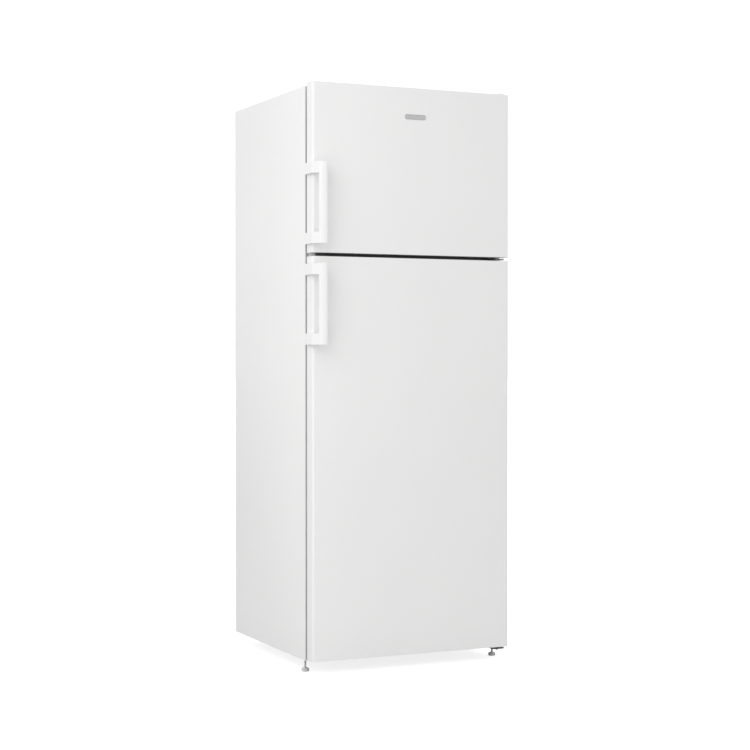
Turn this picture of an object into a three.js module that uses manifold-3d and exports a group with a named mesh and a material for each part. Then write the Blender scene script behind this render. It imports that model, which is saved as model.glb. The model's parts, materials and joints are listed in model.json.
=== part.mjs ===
// A two-door household refrigerator with the freezer compartment on top.
// Millimetres, +Z up. While modelling, X = 0 is the cabinet's middle plane, Y = 0 the doors' front
// face with +Y towards the back wall, and Z = 0 the floor. The finished group is then shifted so
// that its origin is the middle of the outer box, on the floor.

import * as THREE from 'three';
import { mergeVertices } from 'three/addons/utils/BufferGeometryUtils.js';
import Module from 'manifold-3d';

const wasm = await Module();
wasm.setup();

// ---------------------------------------------------------------- driving dimensions

const GAP = 0.3;                 // air left between neighbouring pieces
const HALF_WIDTH = 350;          // cabinet and doors
const SHEET = 0.8;               // painted sheet steel
const LINER_WALL = 1.5;          // thermoformed lining

const CABINET = { front: 62.5, back: 696.5, bottom: 38, top: 1853.5 };
const DOOR_BACK = 45.5;          // rear edge of the painted door shell
const DOOR_CORNER = 8;           // rounding of the vertical front edges
const FREEZER_DOOR = { bottom: 1326, top: 1860 };
const FRIDGE_DOOR = { bottom: 43.3, top: 1314.5 };

const FLANGE_EDGE = 314;         // inner edge of the side panels' front flange
const SIDE_FOLD = 3;             // width of the fold between a side and its front flange
const REAR_FLANGE = { back: 694.9, edge: 338 };
const BODY_BACK = 693.4;         // rear of the insulation and of the top and base sheets
const BASE_RAIL = { bottom: 40, floor: 42.5, front: 66.5, back: 118, lip: 58, top: 94 };
const FREEZER_ROOM = { half: 286, bottom: 1352, top: 1790, back: 636 };
const FRIDGE_ROOM = { half: 300, bottom: 110, top: 1286, back: 636, stepFront: 410, stepTop: 345 };
const MULLION = { bottom: 1297, top: 1343 };
const TOP_FLANGE_BOTTOM = 1812;
const BAY = { front: 452.2, top: 303.4 };   // compressor bay, under the rear of the fridge room
const BAY_PLATE = { bottom: 44, top: 46.5, back: 690 };
const FOAM_FLOOR = 61.8;

const HINGE = { x: 322, y: 27, pin: 4, hole: 5 };
const TOP_HINGE = { x: [311, 337], front: 13, step: 74, riser: 78, back: 128, thick: 3 };
const TOP_COVER = { x: [309, 341], front: 8, step: 72, back: 132, top: 1866, wall: 1.5 };
const MIDDLE_HINGE = { x: [303, 344], front: 14, z: [1318.5, 1321.5] };
const BOTTOM_HINGE = { x: [300, 344], front: 12, z: [34.5, 38] };
const HINGE_FLANGE = 1.2;        // thickness of the flanges screwed to the front frame
const GASKET = { outer: 328, inner: 304, front: 47.6, back: 61.7 };
const LINING_FRONT = 45.8;       // door lining sheet, flush behind the shell
const DIKE = { back: 95, thick: 25 };
const CAP_HEIGHT = 20;

const HANDLE = { out: 10, reach: 50, inward: 38, height: 254, arm: 35.3, gripStart: 49 };
const HANDLE_Z = { freezer: 1352.5, fridge: 1037.2 };

const FOOT = { x: 338, y: 90, disc: 12, discHeight: 12, stud: 3.8, top: 56 };
const ROLLER = { x: 240, y: 640, radius: 20, width: 28, bore: 4.5, axle: 4 };

const SHELF = { front: 190, back: 622, thick: 4 };
const SHELF_HEIGHTS = { lower: 600, middle: 810, upper: 1020 };
const CRISPER_LID = 349;
const BIN_BACK = 140;            // how far the door bins reach into the cabinet

const SIDES = [['left', -1], ['right', 1]];

// ---------------------------------------------------------------- colours and finishes

function material(color, roughness, metalness = 0) {
  return new THREE.MeshStandardMaterial({ color, roughness, metalness });
}

const PAINT = material(0xf4f4f3, 0.3);
const GLOSS_WHITE = material(0xf8f8f7, 0.25);
const LINING = material(0xf1f3f4, 0.35);
const RAIL_GREY = material(0x5d6062, 0.5, 0.2);
const ZINC = material(0xb3b6b8, 0.4, 0.9);
const GREY_PLASTIC = material(0x9a9c9e, 0.5);
const CHARCOAL = material(0x2b2c2e, 0.6);
const STEEL = material(0xc4c6c8, 0.3, 0.9);
const ALUMINIUM = material(0xd0d2d4, 0.35, 0.9);
const SEAL_GREY = material(0xa8aaab, 0.7);
const FOAM = material(0xe6d9a8, 0.95);
const GLASS = material(0xdbe9e6, 0.05);
const CLEAR_PLASTIC = material(0xdfe9ee, 0.1);

// ---------------------------------------------------------------- geometry helpers

// A block from three [low, high] spans.
function block([x0, x1], [y0, y1], [z0, z1]) {
  const shape = new THREE.BoxGeometry(x1 - x0, y1 - y0, z1 - z0);
  return shape.translate((x0 + x1) / 2, (y0 + y1) / 2, (z0 + z1) / 2);
}

// An outline in X and Y, raised along Z.
function prismZ(outline, [z0, z1], curveSegments = 6) {
  const options = { depth: z1 - z0, bevelEnabled: false, curveSegments };
  return new THREE.ExtrudeGeometry(outline, options).translate(0, 0, z0);
}

// An outline in Y and Z, drawn out along X.
function prismX(outline, [x0, x1], curveSegments = 6) {
  const toX = new THREE.Matrix4().makeBasis(
    new THREE.Vector3(0, 1, 0), new THREE.Vector3(0, 0, 1), new THREE.Vector3(1, 0, 0));
  return prismZ(outline, [x0, x1], curveSegments).applyMatrix4(toX);
}

function polygon(points) {
  return new THREE.Shape(points.map(([a, b]) => new THREE.Vector2(a, b)));
}

function roundedRect([a0, a1], [b0, b1], radius) {
  const outline = new THREE.Shape();
  outline.moveTo(a0 + radius, b0);
  outline.lineTo(a1 - radius, b0);
  outline.absarc(a1 - radius, b0 + radius, radius, -Math.PI / 2, 0);
  outline.lineTo(a1, b1 - radius);
  outline.absarc(a1 - radius, b1 - radius, radius, 0, Math.PI / 2);
  outline.lineTo(a0 + radius, b1);
  outline.absarc(a0 + radius, b1 - radius, radius, Math.PI / 2, Math.PI);
  outline.lineTo(a0, b0 + radius);
  outline.absarc(a0 + radius, b0 + radius, radius, Math.PI, Math.PI * 1.5);
  return outline;
}

// A round bar along one axis ('x', 'y' or 'z') from low to high, around a point of the other two.
function bar(axis, [u, v], radius, [low, high], sides = 16) {
  const shape = new THREE.CylinderGeometry(radius, radius, high - low, sides);
  const middle = (low + high) / 2;
  if (axis === 'x') return shape.rotateZ(-Math.PI / 2).translate(middle, u, v);
  if (axis === 'y') return shape.translate(u, middle, v);
  return shape.rotateX(Math.PI / 2).translate(u, v, middle);
}

function toSolid(geometry) {
  const bare = geometry.clone();
  bare.deleteAttribute('normal');
  bare.deleteAttribute('uv');
  const merged = mergeVertices(bare, 1e-4);
  return new wasm.Manifold(new wasm.Mesh({
    numProp: 3,
    vertProperties: new Float32Array(merged.attributes.position.array),
    triVerts: new Uint32Array(merged.index.array),
  }));
}

function toGeometry(solid) {
  const mesh = solid.getMesh();
  const geometry = new THREE.BufferGeometry();
  geometry.setAttribute('position', new THREE.BufferAttribute(mesh.vertProperties, 3));
  geometry.setIndex(new THREE.BufferAttribute(mesh.triVerts, 1));
  return geometry;
}

// The union of several pieces, and a piece with others taken out of it.
function join(...pieces) {
  return toGeometry(pieces.map(toSolid).reduce((whole, piece) => whole.add(piece)));
}

function cut(base, ...tools) {
  return toGeometry(tools.map(toSolid).reduce((whole, tool) => whole.subtract(tool), toSolid(base)));
}

const fridge = new THREE.Group();

function add(name, geometry, finish) {
  geometry.computeVertexNormals();
  const mesh = new THREE.Mesh(geometry, finish);
  mesh.name = name;
  fridge.add(mesh);
}

// ---------------------------------------------------------------- cabinet shell

const INNER_FACE = HALF_WIDTH - SHEET;
const WIDE = INNER_FACE - GAP;   // half width of whatever lies between the two side sheets

// One folded side sheet: front flange with a rounded fold, the side itself and a rear flange.
function sidePanel(side) {
  const { front, bottom, top } = CABINET;
  const { back, edge } = REAR_FLANGE;
  const fold = SIDE_FOLD;
  const x = (value) => side * value;
  const outline = new THREE.Shape();
  outline.moveTo(x(FLANGE_EDGE), front);
  outline.lineTo(x(HALF_WIDTH - fold), front);
  outline.quadraticCurveTo(x(HALF_WIDTH), front, x(HALF_WIDTH), front + fold);
  outline.lineTo(x(HALF_WIDTH), back);
  outline.lineTo(x(edge), back);
  outline.lineTo(x(edge), back - SHEET);
  outline.lineTo(x(INNER_FACE), back - SHEET);
  outline.lineTo(x(INNER_FACE), front + fold);
  outline.lineTo(x(HALF_WIDTH - fold), front + SHEET);
  outline.lineTo(x(FLANGE_EDGE), front + SHEET);
  return prismZ(outline, [bottom, top], 3);
}

function topPanel() {
  const { front, top } = CABINET;
  const span = FLANGE_EDGE - GAP;
  const under = top - SHEET;
  return join(
    block([-span, span], [front, front + SHEET], [TOP_FLANGE_BOTTOM, top]),
    block([-span, span], [front, front + SIDE_FOLD + 2], [under, top]),
    block([-WIDE, WIDE], [front + SIDE_FOLD + 1, BODY_BACK], [under, top]),
  );
}

// The stepped sheet under the insulation, which also forms the compressor bay's front and roof.
function basePanel() {
  const low = FOAM_FLOOR - GAP - SHEET;
  const front = CABINET.front + SIDE_FOLD + 1;
  const back = BODY_BACK;
  const outline = polygon([
    [front, low], [BAY.front + SHEET, low], [BAY.front + SHEET, BAY.top - SHEET],
    [back, BAY.top - SHEET], [back, BAY.top], [BAY.front, BAY.top],
    [BAY.front, low + SHEET], [front, low + SHEET],
  ]);
  return prismX(outline, [-WIDE, WIDE]);
}

// The channel across the bottom front, which carries the levelling feet.
function frontBaseRail() {
  const face = CABINET.front;
  const { bottom, floor, front, back, lip, top } = BASE_RAIL;
  const span = FLANGE_EDGE - GAP;
  const wall = floor - bottom;
  const rail = join(
    block([-span, span], [face, face + SHEET], [bottom, top]),
    block([-span, span], [face, front + 1], [bottom, floor]),
    block([-WIDE, WIDE], [front, back], [bottom, floor]),
    block([-WIDE, WIDE], [back - wall, back], [bottom, lip]),
  );
  const studHole = (side) => bar(
    'z', [side * FOOT.x, FOOT.y], FOOT.stud + GAP + 0.1, [bottom - 5, floor + 5]);
  return cut(rail, studHole(-1), studHole(1));
}

function mullionRail() {
  const span = FLANGE_EDGE - GAP;
  const { front } = CABINET;
  return block([-span, span], [front, front + SHEET], [MULLION.bottom, MULLION.top]);
}

function rearPanel() {
  const half = HALF_WIDTH - 0.5;
  const { back, top } = CABINET;
  return block([-half, half], [back - SHEET, back], [BAY.top - SHEET, top - GAP]);
}

for (const [name, side] of SIDES) add(`side_panel_${name}`, sidePanel(side), PAINT);
add('top_panel', topPanel(), PAINT);
add('rear_panel', rearPanel(), ZINC);
add('base_panel', basePanel(), ZINC);
add('front_base_rail', frontBaseRail(), RAIL_GREY);
add('mullion_rail', mullionRail(), RAIL_GREY);

// ---------------------------------------------------------------- linings and insulation

// The side view of the lower compartment, grown outwards by a wall thickness.
function fridgeRoomOutline(grow, front) {
  const { bottom, top, back, stepFront, stepTop } = FRIDGE_ROOM;
  return polygon([
    [front, bottom - grow], [stepFront + grow, bottom - grow], [stepFront + grow, stepTop - grow],
    [back + grow, stepTop - grow], [back + grow, top + grow], [front, top + grow],
  ]);
}

function fridgeRoom(grow, front) {
  return prismX(fridgeRoomOutline(grow, front), [-FRIDGE_ROOM.half - grow, FRIDGE_ROOM.half + grow]);
}

function freezerRoom(grow, front) {
  const { half, bottom, top, back } = FREEZER_ROOM;
  return block([-half - grow, half + grow], [front, back + grow], [bottom - grow, top + grow]);
}

// Ribs on both side walls, under a shelf.
function shelfRibs(half, shelfBottom, back) {
  const reach = 8;
  const top = shelfBottom - GAP;
  return SIDES.map(([, s]) => {
    const span = [s * (half - reach), s * (half + 0.5)].sort((a, b) => a - b);
    return block(span, [SHELF.front + 8, back - 12], [top - 7, top]);
  });
}

const LINER_FACE = CABINET.front + GAP;
const PAST = 5;                  // how far a cutting block runs past the piece it cuts
const FLANGE_SPAN = [-FLANGE_EDGE + GAP, FLANGE_EDGE - GAP];
const FLANGE_DEPTH = [LINER_FACE, LINER_FACE + LINER_WALL];
const FREEZER_SHELF = { z: 1566, back: 548 };

function freezerLiner() {
  const flange = block(FLANGE_SPAN, FLANGE_DEPTH, [MULLION.top + GAP, TOP_FLANGE_BOTTOM - GAP]);
  const shell = cut(
    join(flange, freezerRoom(LINER_WALL, LINER_FACE)),
    freezerRoom(0, LINER_FACE - PAST),
  );
  return join(shell, ...shelfRibs(FREEZER_ROOM.half, FREEZER_SHELF.z, FREEZER_SHELF.back));
}

function fridgeLiner() {
  const flange = block(FLANGE_SPAN, FLANGE_DEPTH, [BASE_RAIL.top + GAP, MULLION.bottom - GAP]);
  const shell = cut(
    join(flange, fridgeRoom(LINER_WALL, LINER_FACE)),
    fridgeRoom(0, LINER_FACE - PAST),
  );
  const heights = Object.values(SHELF_HEIGHTS);
  return join(shell, ...heights.flatMap((z) => shelfRibs(FRIDGE_ROOM.half, z, SHELF.back)));
}

// Everything between the outer sheets and the linings is filled with rigid foam.
function foamBody() {
  const front = LINER_FACE + LINER_WALL + GAP;
  const grow = LINER_WALL + GAP;
  const top = CABINET.top - SHEET - GAP;
  const full = block([-WIDE, WIDE], [front, BODY_BACK], [FOAM_FLOOR, top]);
  const foldRoom = SIDES.map(([, s]) => (
    bar('z', [s * INNER_FACE, front], SIDE_FOLD, [0, CABINET.top + PAST], 4)));
  return cut(
    full,
    freezerRoom(grow, 0),
    fridgeRoom(grow, 0),
    block([-HALF_WIDTH, HALF_WIDTH], [BAY.front - GAP, CABINET.back + PAST], [0, BAY.top + GAP]),
    ...foldRoom,
  );
}

add('freezer_liner', freezerLiner(), LINING);
add('fridge_liner', fridgeLiner(), LINING);
add('foam_body', foamBody(), FOAM);

// ---------------------------------------------------------------- feet and rollers

// A disc on a threaded stud.
function levellingFoot(side) {
  const { x, y, disc, discHeight, stud, top } = FOOT;
  return join(
    bar('z', [side * x, y], disc, [0, discHeight], 24),
    bar('z', [side * x, y], stud, [discHeight - 1, top], 12),
  );
}

// A solid wheel with a bore, turned about X.
function roller(side) {
  const { x, y, radius, width, bore } = ROLLER;
  const profile = [
    [bore, -width / 2], [radius - 1.5, -width / 2], [radius, -width / 2 + 1.5],
    [radius, width / 2 - 1.5], [radius - 1.5, width / 2], [bore, width / 2], [bore, -width / 2],
  ];
  const shape = new THREE.LatheGeometry(profile.map(([r, h]) => new THREE.Vector2(r, h)), 28);
  return shape.rotateZ(-Math.PI / 2).translate(side * x, y, radius);
}

// The bay's floor, with a pair of ears around each roller.
function compressorPlate() {
  const { x, y, radius, width, axle } = ROLLER;
  const { bottom, top, back } = BAY_PLATE;
  const ear = { offset: width / 2 + 5, halfThick: 1.5, halfBase: 16, end: 11 };
  const ears = SIDES.flatMap(([, s]) => [x - ear.offset, x + ear.offset].map((e) => {
    const outline = new THREE.Shape();
    outline.moveTo(y - ear.halfBase, top - 0.5);
    outline.lineTo(y - ear.end - 1, radius);
    outline.absarc(y, radius, ear.end, Math.PI, Math.PI * 2);
    outline.lineTo(y + ear.halfBase, top - 0.5);
    return prismX(outline, [s * e - ear.halfThick, s * e + ear.halfThick]);
  }));
  const plate = join(block([-WIDE, WIDE], [BAY.front + 12, back], [bottom, top]), ...ears);
  return cut(plate, bar('x', [y, radius], axle + 0.2, [-WIDE, WIDE]));
}

for (const [name, side] of SIDES) {
  add(`foot_${name}`, levellingFoot(side), GREY_PLASTIC);
  add(`roller_${name}`, roller(side), CHARCOAL);
}
add('compressor_plate', compressorPlate(), ZINC);
const AXLE_HALF = ROLLER.x + ROLLER.width / 2 + 12;
add('rear_axle', bar('x', [ROLLER.y, ROLLER.radius], ROLLER.axle, [-AXLE_HALF, AXLE_HALF]), STEEL);

// ---------------------------------------------------------------- compressor bay

// A domed steel can on a base plate, with two pipe stubs.
function compressor() {
  const [x, y, base] = [120, 575, BAY_PLATE.top + 0.5];
  const profile = [
    [0, 0], [62, 0], [74, 8], [78, 22], [78, 62], [82, 66], [82, 72], [78, 76],
    [77, 112], [68, 138], [44, 150], [0, 154],
  ];
  const can = new THREE.LatheGeometry(profile.map(([r, h]) => new THREE.Vector2(r, h)), 28);
  can.rotateX(Math.PI / 2).translate(x, y, base + 8);
  return join(
    can,
    block([x - 100, x + 100], [y - 60, y + 60], [base, base + 4]),
    block([x - 70, x + 70], [y - 40, y + 40], [base, base + 14]),
    bar('y', [x - 30, base + 120], 4, [y - 95, y], 10),
    bar('y', [x + 30, base + 100], 3, [y - 95, y], 10),
  );
}

function dripTray() {
  const [left, right, front, back] = [20, 220, 500, 650];
  const [low, high] = [212, 246];
  const wall = 2.5;
  const hollow = block(
    [left + wall, right - wall], [front + wall, back - wall], [low + wall, high + PAST]);
  return cut(block([left, right], [front, back], [low, high]), hollow);
}

// Level tube runs tied by upright wires.
function condenserCoil() {
  const [left, right] = [-320, -60];
  const y = 600;
  const pitch = 30;
  const runs = 7;
  const bottom = 70;
  const pieces = [];
  for (let i = 0; i < runs; i += 1) {
    const z = bottom + i * pitch;
    pieces.push(bar('x', [y, z], 3, [left, right], 6));
    if (i + 1 < runs) {
      const x = i % 2 === 0 ? right - 3 : left + 3;
      pieces.push(bar('z', [x, y], 3, [z, z + pitch], 6));
    }
  }
  for (let x = left + 25; x < right; x += 42) {
    pieces.push(block([x, x + 2], [y - 1, y + 1], [bottom - 2, bottom + (runs - 1) * pitch + 2]));
  }
  return join(...pieces);
}

// A thin cover with two rows of air slots.
function bayCover() {
  const [front, back] = [BODY_BACK - 0.2, REAR_FLANGE.back - 0.1];
  const half = REAR_FLANGE.edge - 2;
  const slot = { halfWidth: 12, height: 70, pitch: 60, last: 270 };
  const slots = [];
  for (const z of [90, 185]) {
    for (let x = -slot.last; x <= slot.last; x += slot.pitch) {
      slots.push(block(
        [x - slot.halfWidth, x + slot.halfWidth], [front - PAST, back + PAST], [z, z + slot.height]));
    }
  }
  return cut(block([-half, half], [front, back], [50, 298]), ...slots);
}

add('compressor', compressor(), CHARCOAL);
add('drip_tray', dripTray(), CHARCOAL);
add('condenser_coil', condenserCoil(), CHARCOAL);
add('bay_cover', bayCover(), ZINC);

// ---------------------------------------------------------------- hinges

const PIN_AT = [HINGE.x, HINGE.y];
const PIN_REACH = 15;            // how deep a hinge pin stands in its door
const HINGE_BACK = CABINET.front - GAP;   // hinge flanges stand just clear of the front frame

function topHinge() {
  const doorTop = FREEZER_DOOR.top;
  const roof = CABINET.top + GAP;
  const { x, front, step, riser, back, thick } = TOP_HINGE;
  const low = doorTop + 1;
  return join(
    prismZ(roundedRect(x, [front, riser], 6), [low, low + thick]),
    block(x, [step, riser], [roof, low + thick]),
    block(x, [step, back], [roof, roof + thick]),
    bar('z', PIN_AT, HINGE.pin, [doorTop - PIN_REACH, low + 1]),
  );
}

function topHingeCover() {
  const doorTop = FREEZER_DOOR.top;
  const roof = CABINET.top + GAP;
  const { x, front, step, back, top, wall } = TOP_COVER;
  const corner = 8;
  const ceiling = top - wall;
  const innerX = [x[0] + wall, x[1] - wall];
  const cover = join(
    prismZ(roundedRect(x, [front, back], corner), [doorTop + 0.8, top]),
    block(x, [step, back - corner], [roof, ceiling]),
    prismZ(roundedRect(x, [step, back], corner), [roof, ceiling]),
  );
  const inside = join(
    block(innerX, [front + wall + 0.5, back - wall - 0.5], [doorTop - 1, ceiling]),
    block(innerX, [step - wall, back - wall - 0.5], [roof - 1, ceiling]),
  );
  return cut(cover, inside);
}

// A level tongue between the doors with a pin each way, on a flange screwed to the front frame.
function middleHinge() {
  const { x, front, z } = MIDDLE_HINGE;
  const [low, high] = z;
  return join(
    prismZ(roundedRect(x, [front, 60], 8), z),
    block(x, [40, HINGE_BACK], z),
    block([x[0] - 7, x[1]], [HINGE_BACK - HINGE_FLANGE, HINGE_BACK], [low - 8.5, high + 9]),
    bar('z', PIN_AT, HINGE.pin, [low - PIN_REACH - 3, high + PIN_REACH + 3]),
  );
}

function bottomHinge() {
  const { x, front, z } = BOTTOM_HINGE;
  return join(
    prismZ(roundedRect(x, [front, 60], 8), z),
    block(x, [40, HINGE_BACK], z),
    block(x, [HINGE_BACK - HINGE_FLANGE, HINGE_BACK], [z[0], 78]),
    bar('z', PIN_AT, HINGE.pin, [z[0] - 4, FRIDGE_DOOR.bottom + PIN_REACH]),
  );
}

add('top_hinge', topHinge(), ZINC);
add('top_hinge_cover', topHingeCover(), GLOSS_WHITE);
add('middle_hinge', middleHinge(), RAIL_GREY);
add('bottom_hinge', bottomHinge(), RAIL_GREY);

// ---------------------------------------------------------------- freezer room fittings

const COVER_FACE = 556;          // front of the panel that hides the evaporator
const FAN = { x: 0, y: 574, z: 1690, radius: 46, shaft: 2.5 };

// A fin pack: plates on both sides of a thin core.
function evaporator() {
  const [left, right] = [-230, 230];
  const pitch = 23;
  const [front, back] = [590, 628];
  const middle = (front + back) / 2;
  const points = [];
  for (let x = left; x < right; x += pitch) {
    points.push([x, front], [x + 2, front], [x + 2, middle - 3], [x + pitch, middle - 3]);
  }
  points.push([right, front], [right + 2, front], [right + 2, back]);
  for (let x = right; x > left; x -= pitch) {
    points.push([x, back], [x, middle + 3], [x + 2 - pitch, middle + 3], [x + 2 - pitch, back]);
  }
  points.push([left, back]);
  return prismZ(polygon(points), [1410, 1600]);
}

function evaporatorCover() {
  const half = FREEZER_ROOM.half - 1;
  const thickness = [COVER_FACE, COVER_FACE + 4];
  const through = [COVER_FACE - PAST, COVER_FACE + 4 + PAST];
  const panel = block([-half, half], thickness, [FREEZER_ROOM.bottom + 1, FREEZER_ROOM.top - 1]);
  const vents = [];
  for (let x = -200; x <= 200; x += 80) {
    vents.push(block([x - 28, x + 28], through, [1372, 1384]));
  }
  const bars = [-30, -10, 10, 30].map((x) => (
    block([x - 1.5, x + 1.5], thickness, [FAN.z - 60, FAN.z + 60])));
  const opening = bar('y', [FAN.x, FAN.z], FAN.radius + 6, through, 24);
  const motor = bar('y', [FAN.x, FAN.z], 16, [COVER_FACE, FAN.y - 9], 20);
  const shaft = bar('y', [FAN.x, FAN.z], FAN.shaft, [COVER_FACE + 2, FAN.y + 8], 12);
  return join(cut(panel, opening, ...vents), ...bars, motor, shaft);
}

// A hub with pitched blades, turning about Y on the motor's shaft.
function fanRotor() {
  const blades = [];
  const count = 5;
  for (let i = 0; i < count; i += 1) {
    const blade = new THREE.BoxGeometry(24, 1.6, FAN.radius - 8);
    blade.rotateZ(0.5).translate(0, 0, (FAN.radius + 8) / 2);
    blades.push(blade.rotateY((i / count) * Math.PI * 2).translate(FAN.x, FAN.y, FAN.z));
  }
  const rotor = join(bar('y', [FAN.x, FAN.z], 14, [FAN.y - 8, FAN.y + 8], 20), ...blades);
  return cut(rotor, bar('y', [FAN.x, FAN.z], FAN.shaft + 0.4, [FAN.y - 12, FAN.y + 12], 12));
}

// A level tube with both ends turned up.
function defrostHeater() {
  const [y, z] = [609, 1385];
  const { radius, half, rise } = { radius: 4.5, half: 221, rise: 18 };
  const sides = 8;
  return join(
    bar('x', [y, z], radius, [-half - 4, half + 4], sides),
    ...SIDES.map(([, s]) => bar('z', [s * half, y], radius, [z, z + rise], sides)),
  );
}

add('evaporator', evaporator(), ALUMINIUM);
add('evaporator_cover', evaporatorCover(), LINING);
add('fan_rotor', fanRotor(), CHARCOAL);
add('defrost_heater', defrostHeater(), STEEL);
add('freezer_shelf', block(
  [-FREEZER_ROOM.half + 0.5, FREEZER_ROOM.half - 0.5],
  [SHELF.front, FREEZER_SHELF.back],
  [FREEZER_SHELF.z, FREEZER_SHELF.z + SHELF.thick],
), GLASS);

// ---------------------------------------------------------------- fridge room fittings

function airDuctCover() {
  const panel = prismZ(roundedRect([-70, 70], [627, 640], 5), [420, 1270]);
  const behind = [FRIDGE_ROOM.back - GAP, FRIDGE_ROOM.back + 20];
  const trimmed = cut(panel, block([-80, 80], behind, [400, 1300]));
  const vents = [500, 700, 910, 1120].flatMap((z) => [-45, 15].map((x) => (
    block([x, x + 30], [620, 632], [z, z + 12]))));
  return cut(trimmed, ...vents);
}

const CONTROL = { half: 112, front: 110, back: 300, bottom: 1250, top: 1285.7 };
const SWITCH = { x: -90, z: 1262, radius: 3.5, tip: 95.6 };
const KNOB = { x: 70, y: 200, radius: 21, shaft: 3 };
const LAMP = { x: [-60, 20], y: [190, 280] };

function controlBox() {
  const { half, front, back, bottom, top } = CONTROL;
  const outline = polygon([
    [front, top], [front, bottom + 4], [front + 8, bottom], [back, bottom], [back, top],
  ]);
  const [[x0, x1], [y0, y1]] = [LAMP.x, LAMP.y];
  return cut(
    prismX(outline, [-half, half]),
    bar('y', [SWITCH.x, SWITCH.z], SWITCH.radius + 0.4, [front - 5, front + 22]),
    bar('z', [KNOB.x, KNOB.y], KNOB.shaft + 0.3, [bottom - 5, bottom + 12]),
    block([x0, x1], [y0, y1], [bottom - 5, bottom + 20]),
  );
}

function switchPlunger() {
  return bar('y', [SWITCH.x, SWITCH.z], SWITCH.radius, [SWITCH.tip, CONTROL.front + 12], 12);
}

function thermostatKnob() {
  const { x, y, radius, shaft } = KNOB;
  const low = CONTROL.bottom - 15;
  return join(
    bar('z', [x, y], radius, [low, CONTROL.bottom - GAP], 24),
    bar('z', [x, y], shaft, [low, CONTROL.bottom + 10], 12),
    block([x - 2, x + 2], [y - radius, y - 4], [low - 4, low + 1]),
  );
}

function lampCover() {
  const [[x0, x1], [y0, y1]] = [LAMP.x, LAMP.y];
  const { bottom } = CONTROL;
  const span = (inset) => [[x0 + inset, x1 - inset], [y0 + inset, y1 - inset]];
  return cut(
    block(...span(0.5), [bottom - 9, bottom + 6]),
    block(...span(2.5), [bottom - 7, bottom + 8]),
  );
}

// An open box with a rounded pull along its front rim.
function crisper(side) {
  const inner = 3;
  const outer = FRIDGE_ROOM.half - 4;
  const span = [side * inner, side * outer].sort((a, b) => a - b);
  const [front, back] = [204, 402];
  const [low, high] = [FRIDGE_ROOM.bottom + GAP, CRISPER_LID - 5];
  const wall = 2.5;
  const rimOutline = polygon([
    [front + 1, high - 34], [front - 10, high - 28], [front - 10, high - 22],
    [front + 1, high - 26],
  ]);
  const hollow = block(
    [span[0] + wall, span[1] - wall], [front + wall, back - wall], [low + wall, high + 5]);
  const body = cut(block(span, [front, back], [low, high]), hollow);
  return join(body, prismX(rimOutline, [span[0] + 40, span[1] - 40]));
}

const SHELF_SPAN = [-FRIDGE_ROOM.half + 0.5, FRIDGE_ROOM.half - 0.5];

add('air_duct_cover', airDuctCover(), LINING);
add('control_box', controlBox(), LINING);
add('door_switch_button', switchPlunger(), GLOSS_WHITE);
add('thermostat_knob', thermostatKnob(), GLOSS_WHITE);
add('lamp_cover', lampCover(), CLEAR_PLASTIC);
for (const [name, z] of Object.entries(SHELF_HEIGHTS)) {
  add(`glass_shelf_${name}`, block(SHELF_SPAN, [SHELF.front, SHELF.back], [z, z + SHELF.thick]), GLASS);
}
add('crisper_cover', block(SHELF_SPAN, [196, SHELF.back], [CRISPER_LID, CRISPER_LID + SHELF.thick]), GLASS);
for (const [name, side] of SIDES) add(`crisper_${name}`, crisper(side), CLEAR_PLASTIC);

// ---------------------------------------------------------------- doors

// Where a door's seal and inner lining lie, from the room behind it.
const SEAL_BAND = 20;
const FREEZER_DIKE = 270;
const FRIDGE_DIKE = 284;
const DOORS = [
  {
    name: 'freezer', ...FREEZER_DOOR, handle: HANDLE_Z.freezer,
    seal: [1332, 1838], dike: [1366, 1778], dikeHalf: FREEZER_DIKE,
  },
  {
    name: 'fridge', ...FRIDGE_DOOR, handle: HANDLE_Z.fridge,
    seal: [84, 1308.5], dike: [128, 1268], dikeHalf: FRIDGE_DIKE,
  },
];

// Painted sheet: the front, both sides and short folds behind, rounded at the vertical edges.
function doorSkin({ bottom, top }) {
  const fold = 12;
  const inside = DOOR_CORNER - SHEET;
  const outline = new THREE.Shape();
  outline.moveTo(-HALF_WIDTH + fold, DOOR_BACK);
  outline.lineTo(-HALF_WIDTH, DOOR_BACK);
  outline.lineTo(-HALF_WIDTH, DOOR_CORNER);
  outline.absarc(-HALF_WIDTH + DOOR_CORNER, DOOR_CORNER, DOOR_CORNER, Math.PI, Math.PI * 1.5);
  outline.lineTo(HALF_WIDTH - DOOR_CORNER, 0);
  outline.absarc(HALF_WIDTH - DOOR_CORNER, DOOR_CORNER, DOOR_CORNER, -Math.PI / 2, 0);
  outline.lineTo(HALF_WIDTH, DOOR_BACK);
  outline.lineTo(HALF_WIDTH - fold, DOOR_BACK);
  outline.lineTo(HALF_WIDTH - fold, DOOR_BACK - SHEET);
  outline.lineTo(HALF_WIDTH - SHEET, DOOR_BACK - SHEET);
  outline.lineTo(HALF_WIDTH - SHEET, DOOR_CORNER);
  outline.absarc(HALF_WIDTH - DOOR_CORNER, DOOR_CORNER, inside, 0, -Math.PI / 2, true);
  outline.lineTo(-HALF_WIDTH + DOOR_CORNER, SHEET);
  outline.absarc(-HALF_WIDTH + DOOR_CORNER, DOOR_CORNER, inside, -Math.PI / 2, -Math.PI, true);
  outline.lineTo(-HALF_WIDTH + SHEET, DOOR_BACK - SHEET);
  outline.lineTo(-HALF_WIDTH + fold, DOOR_BACK - SHEET);
  return prismZ(outline, [bottom, top]);
}

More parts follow.
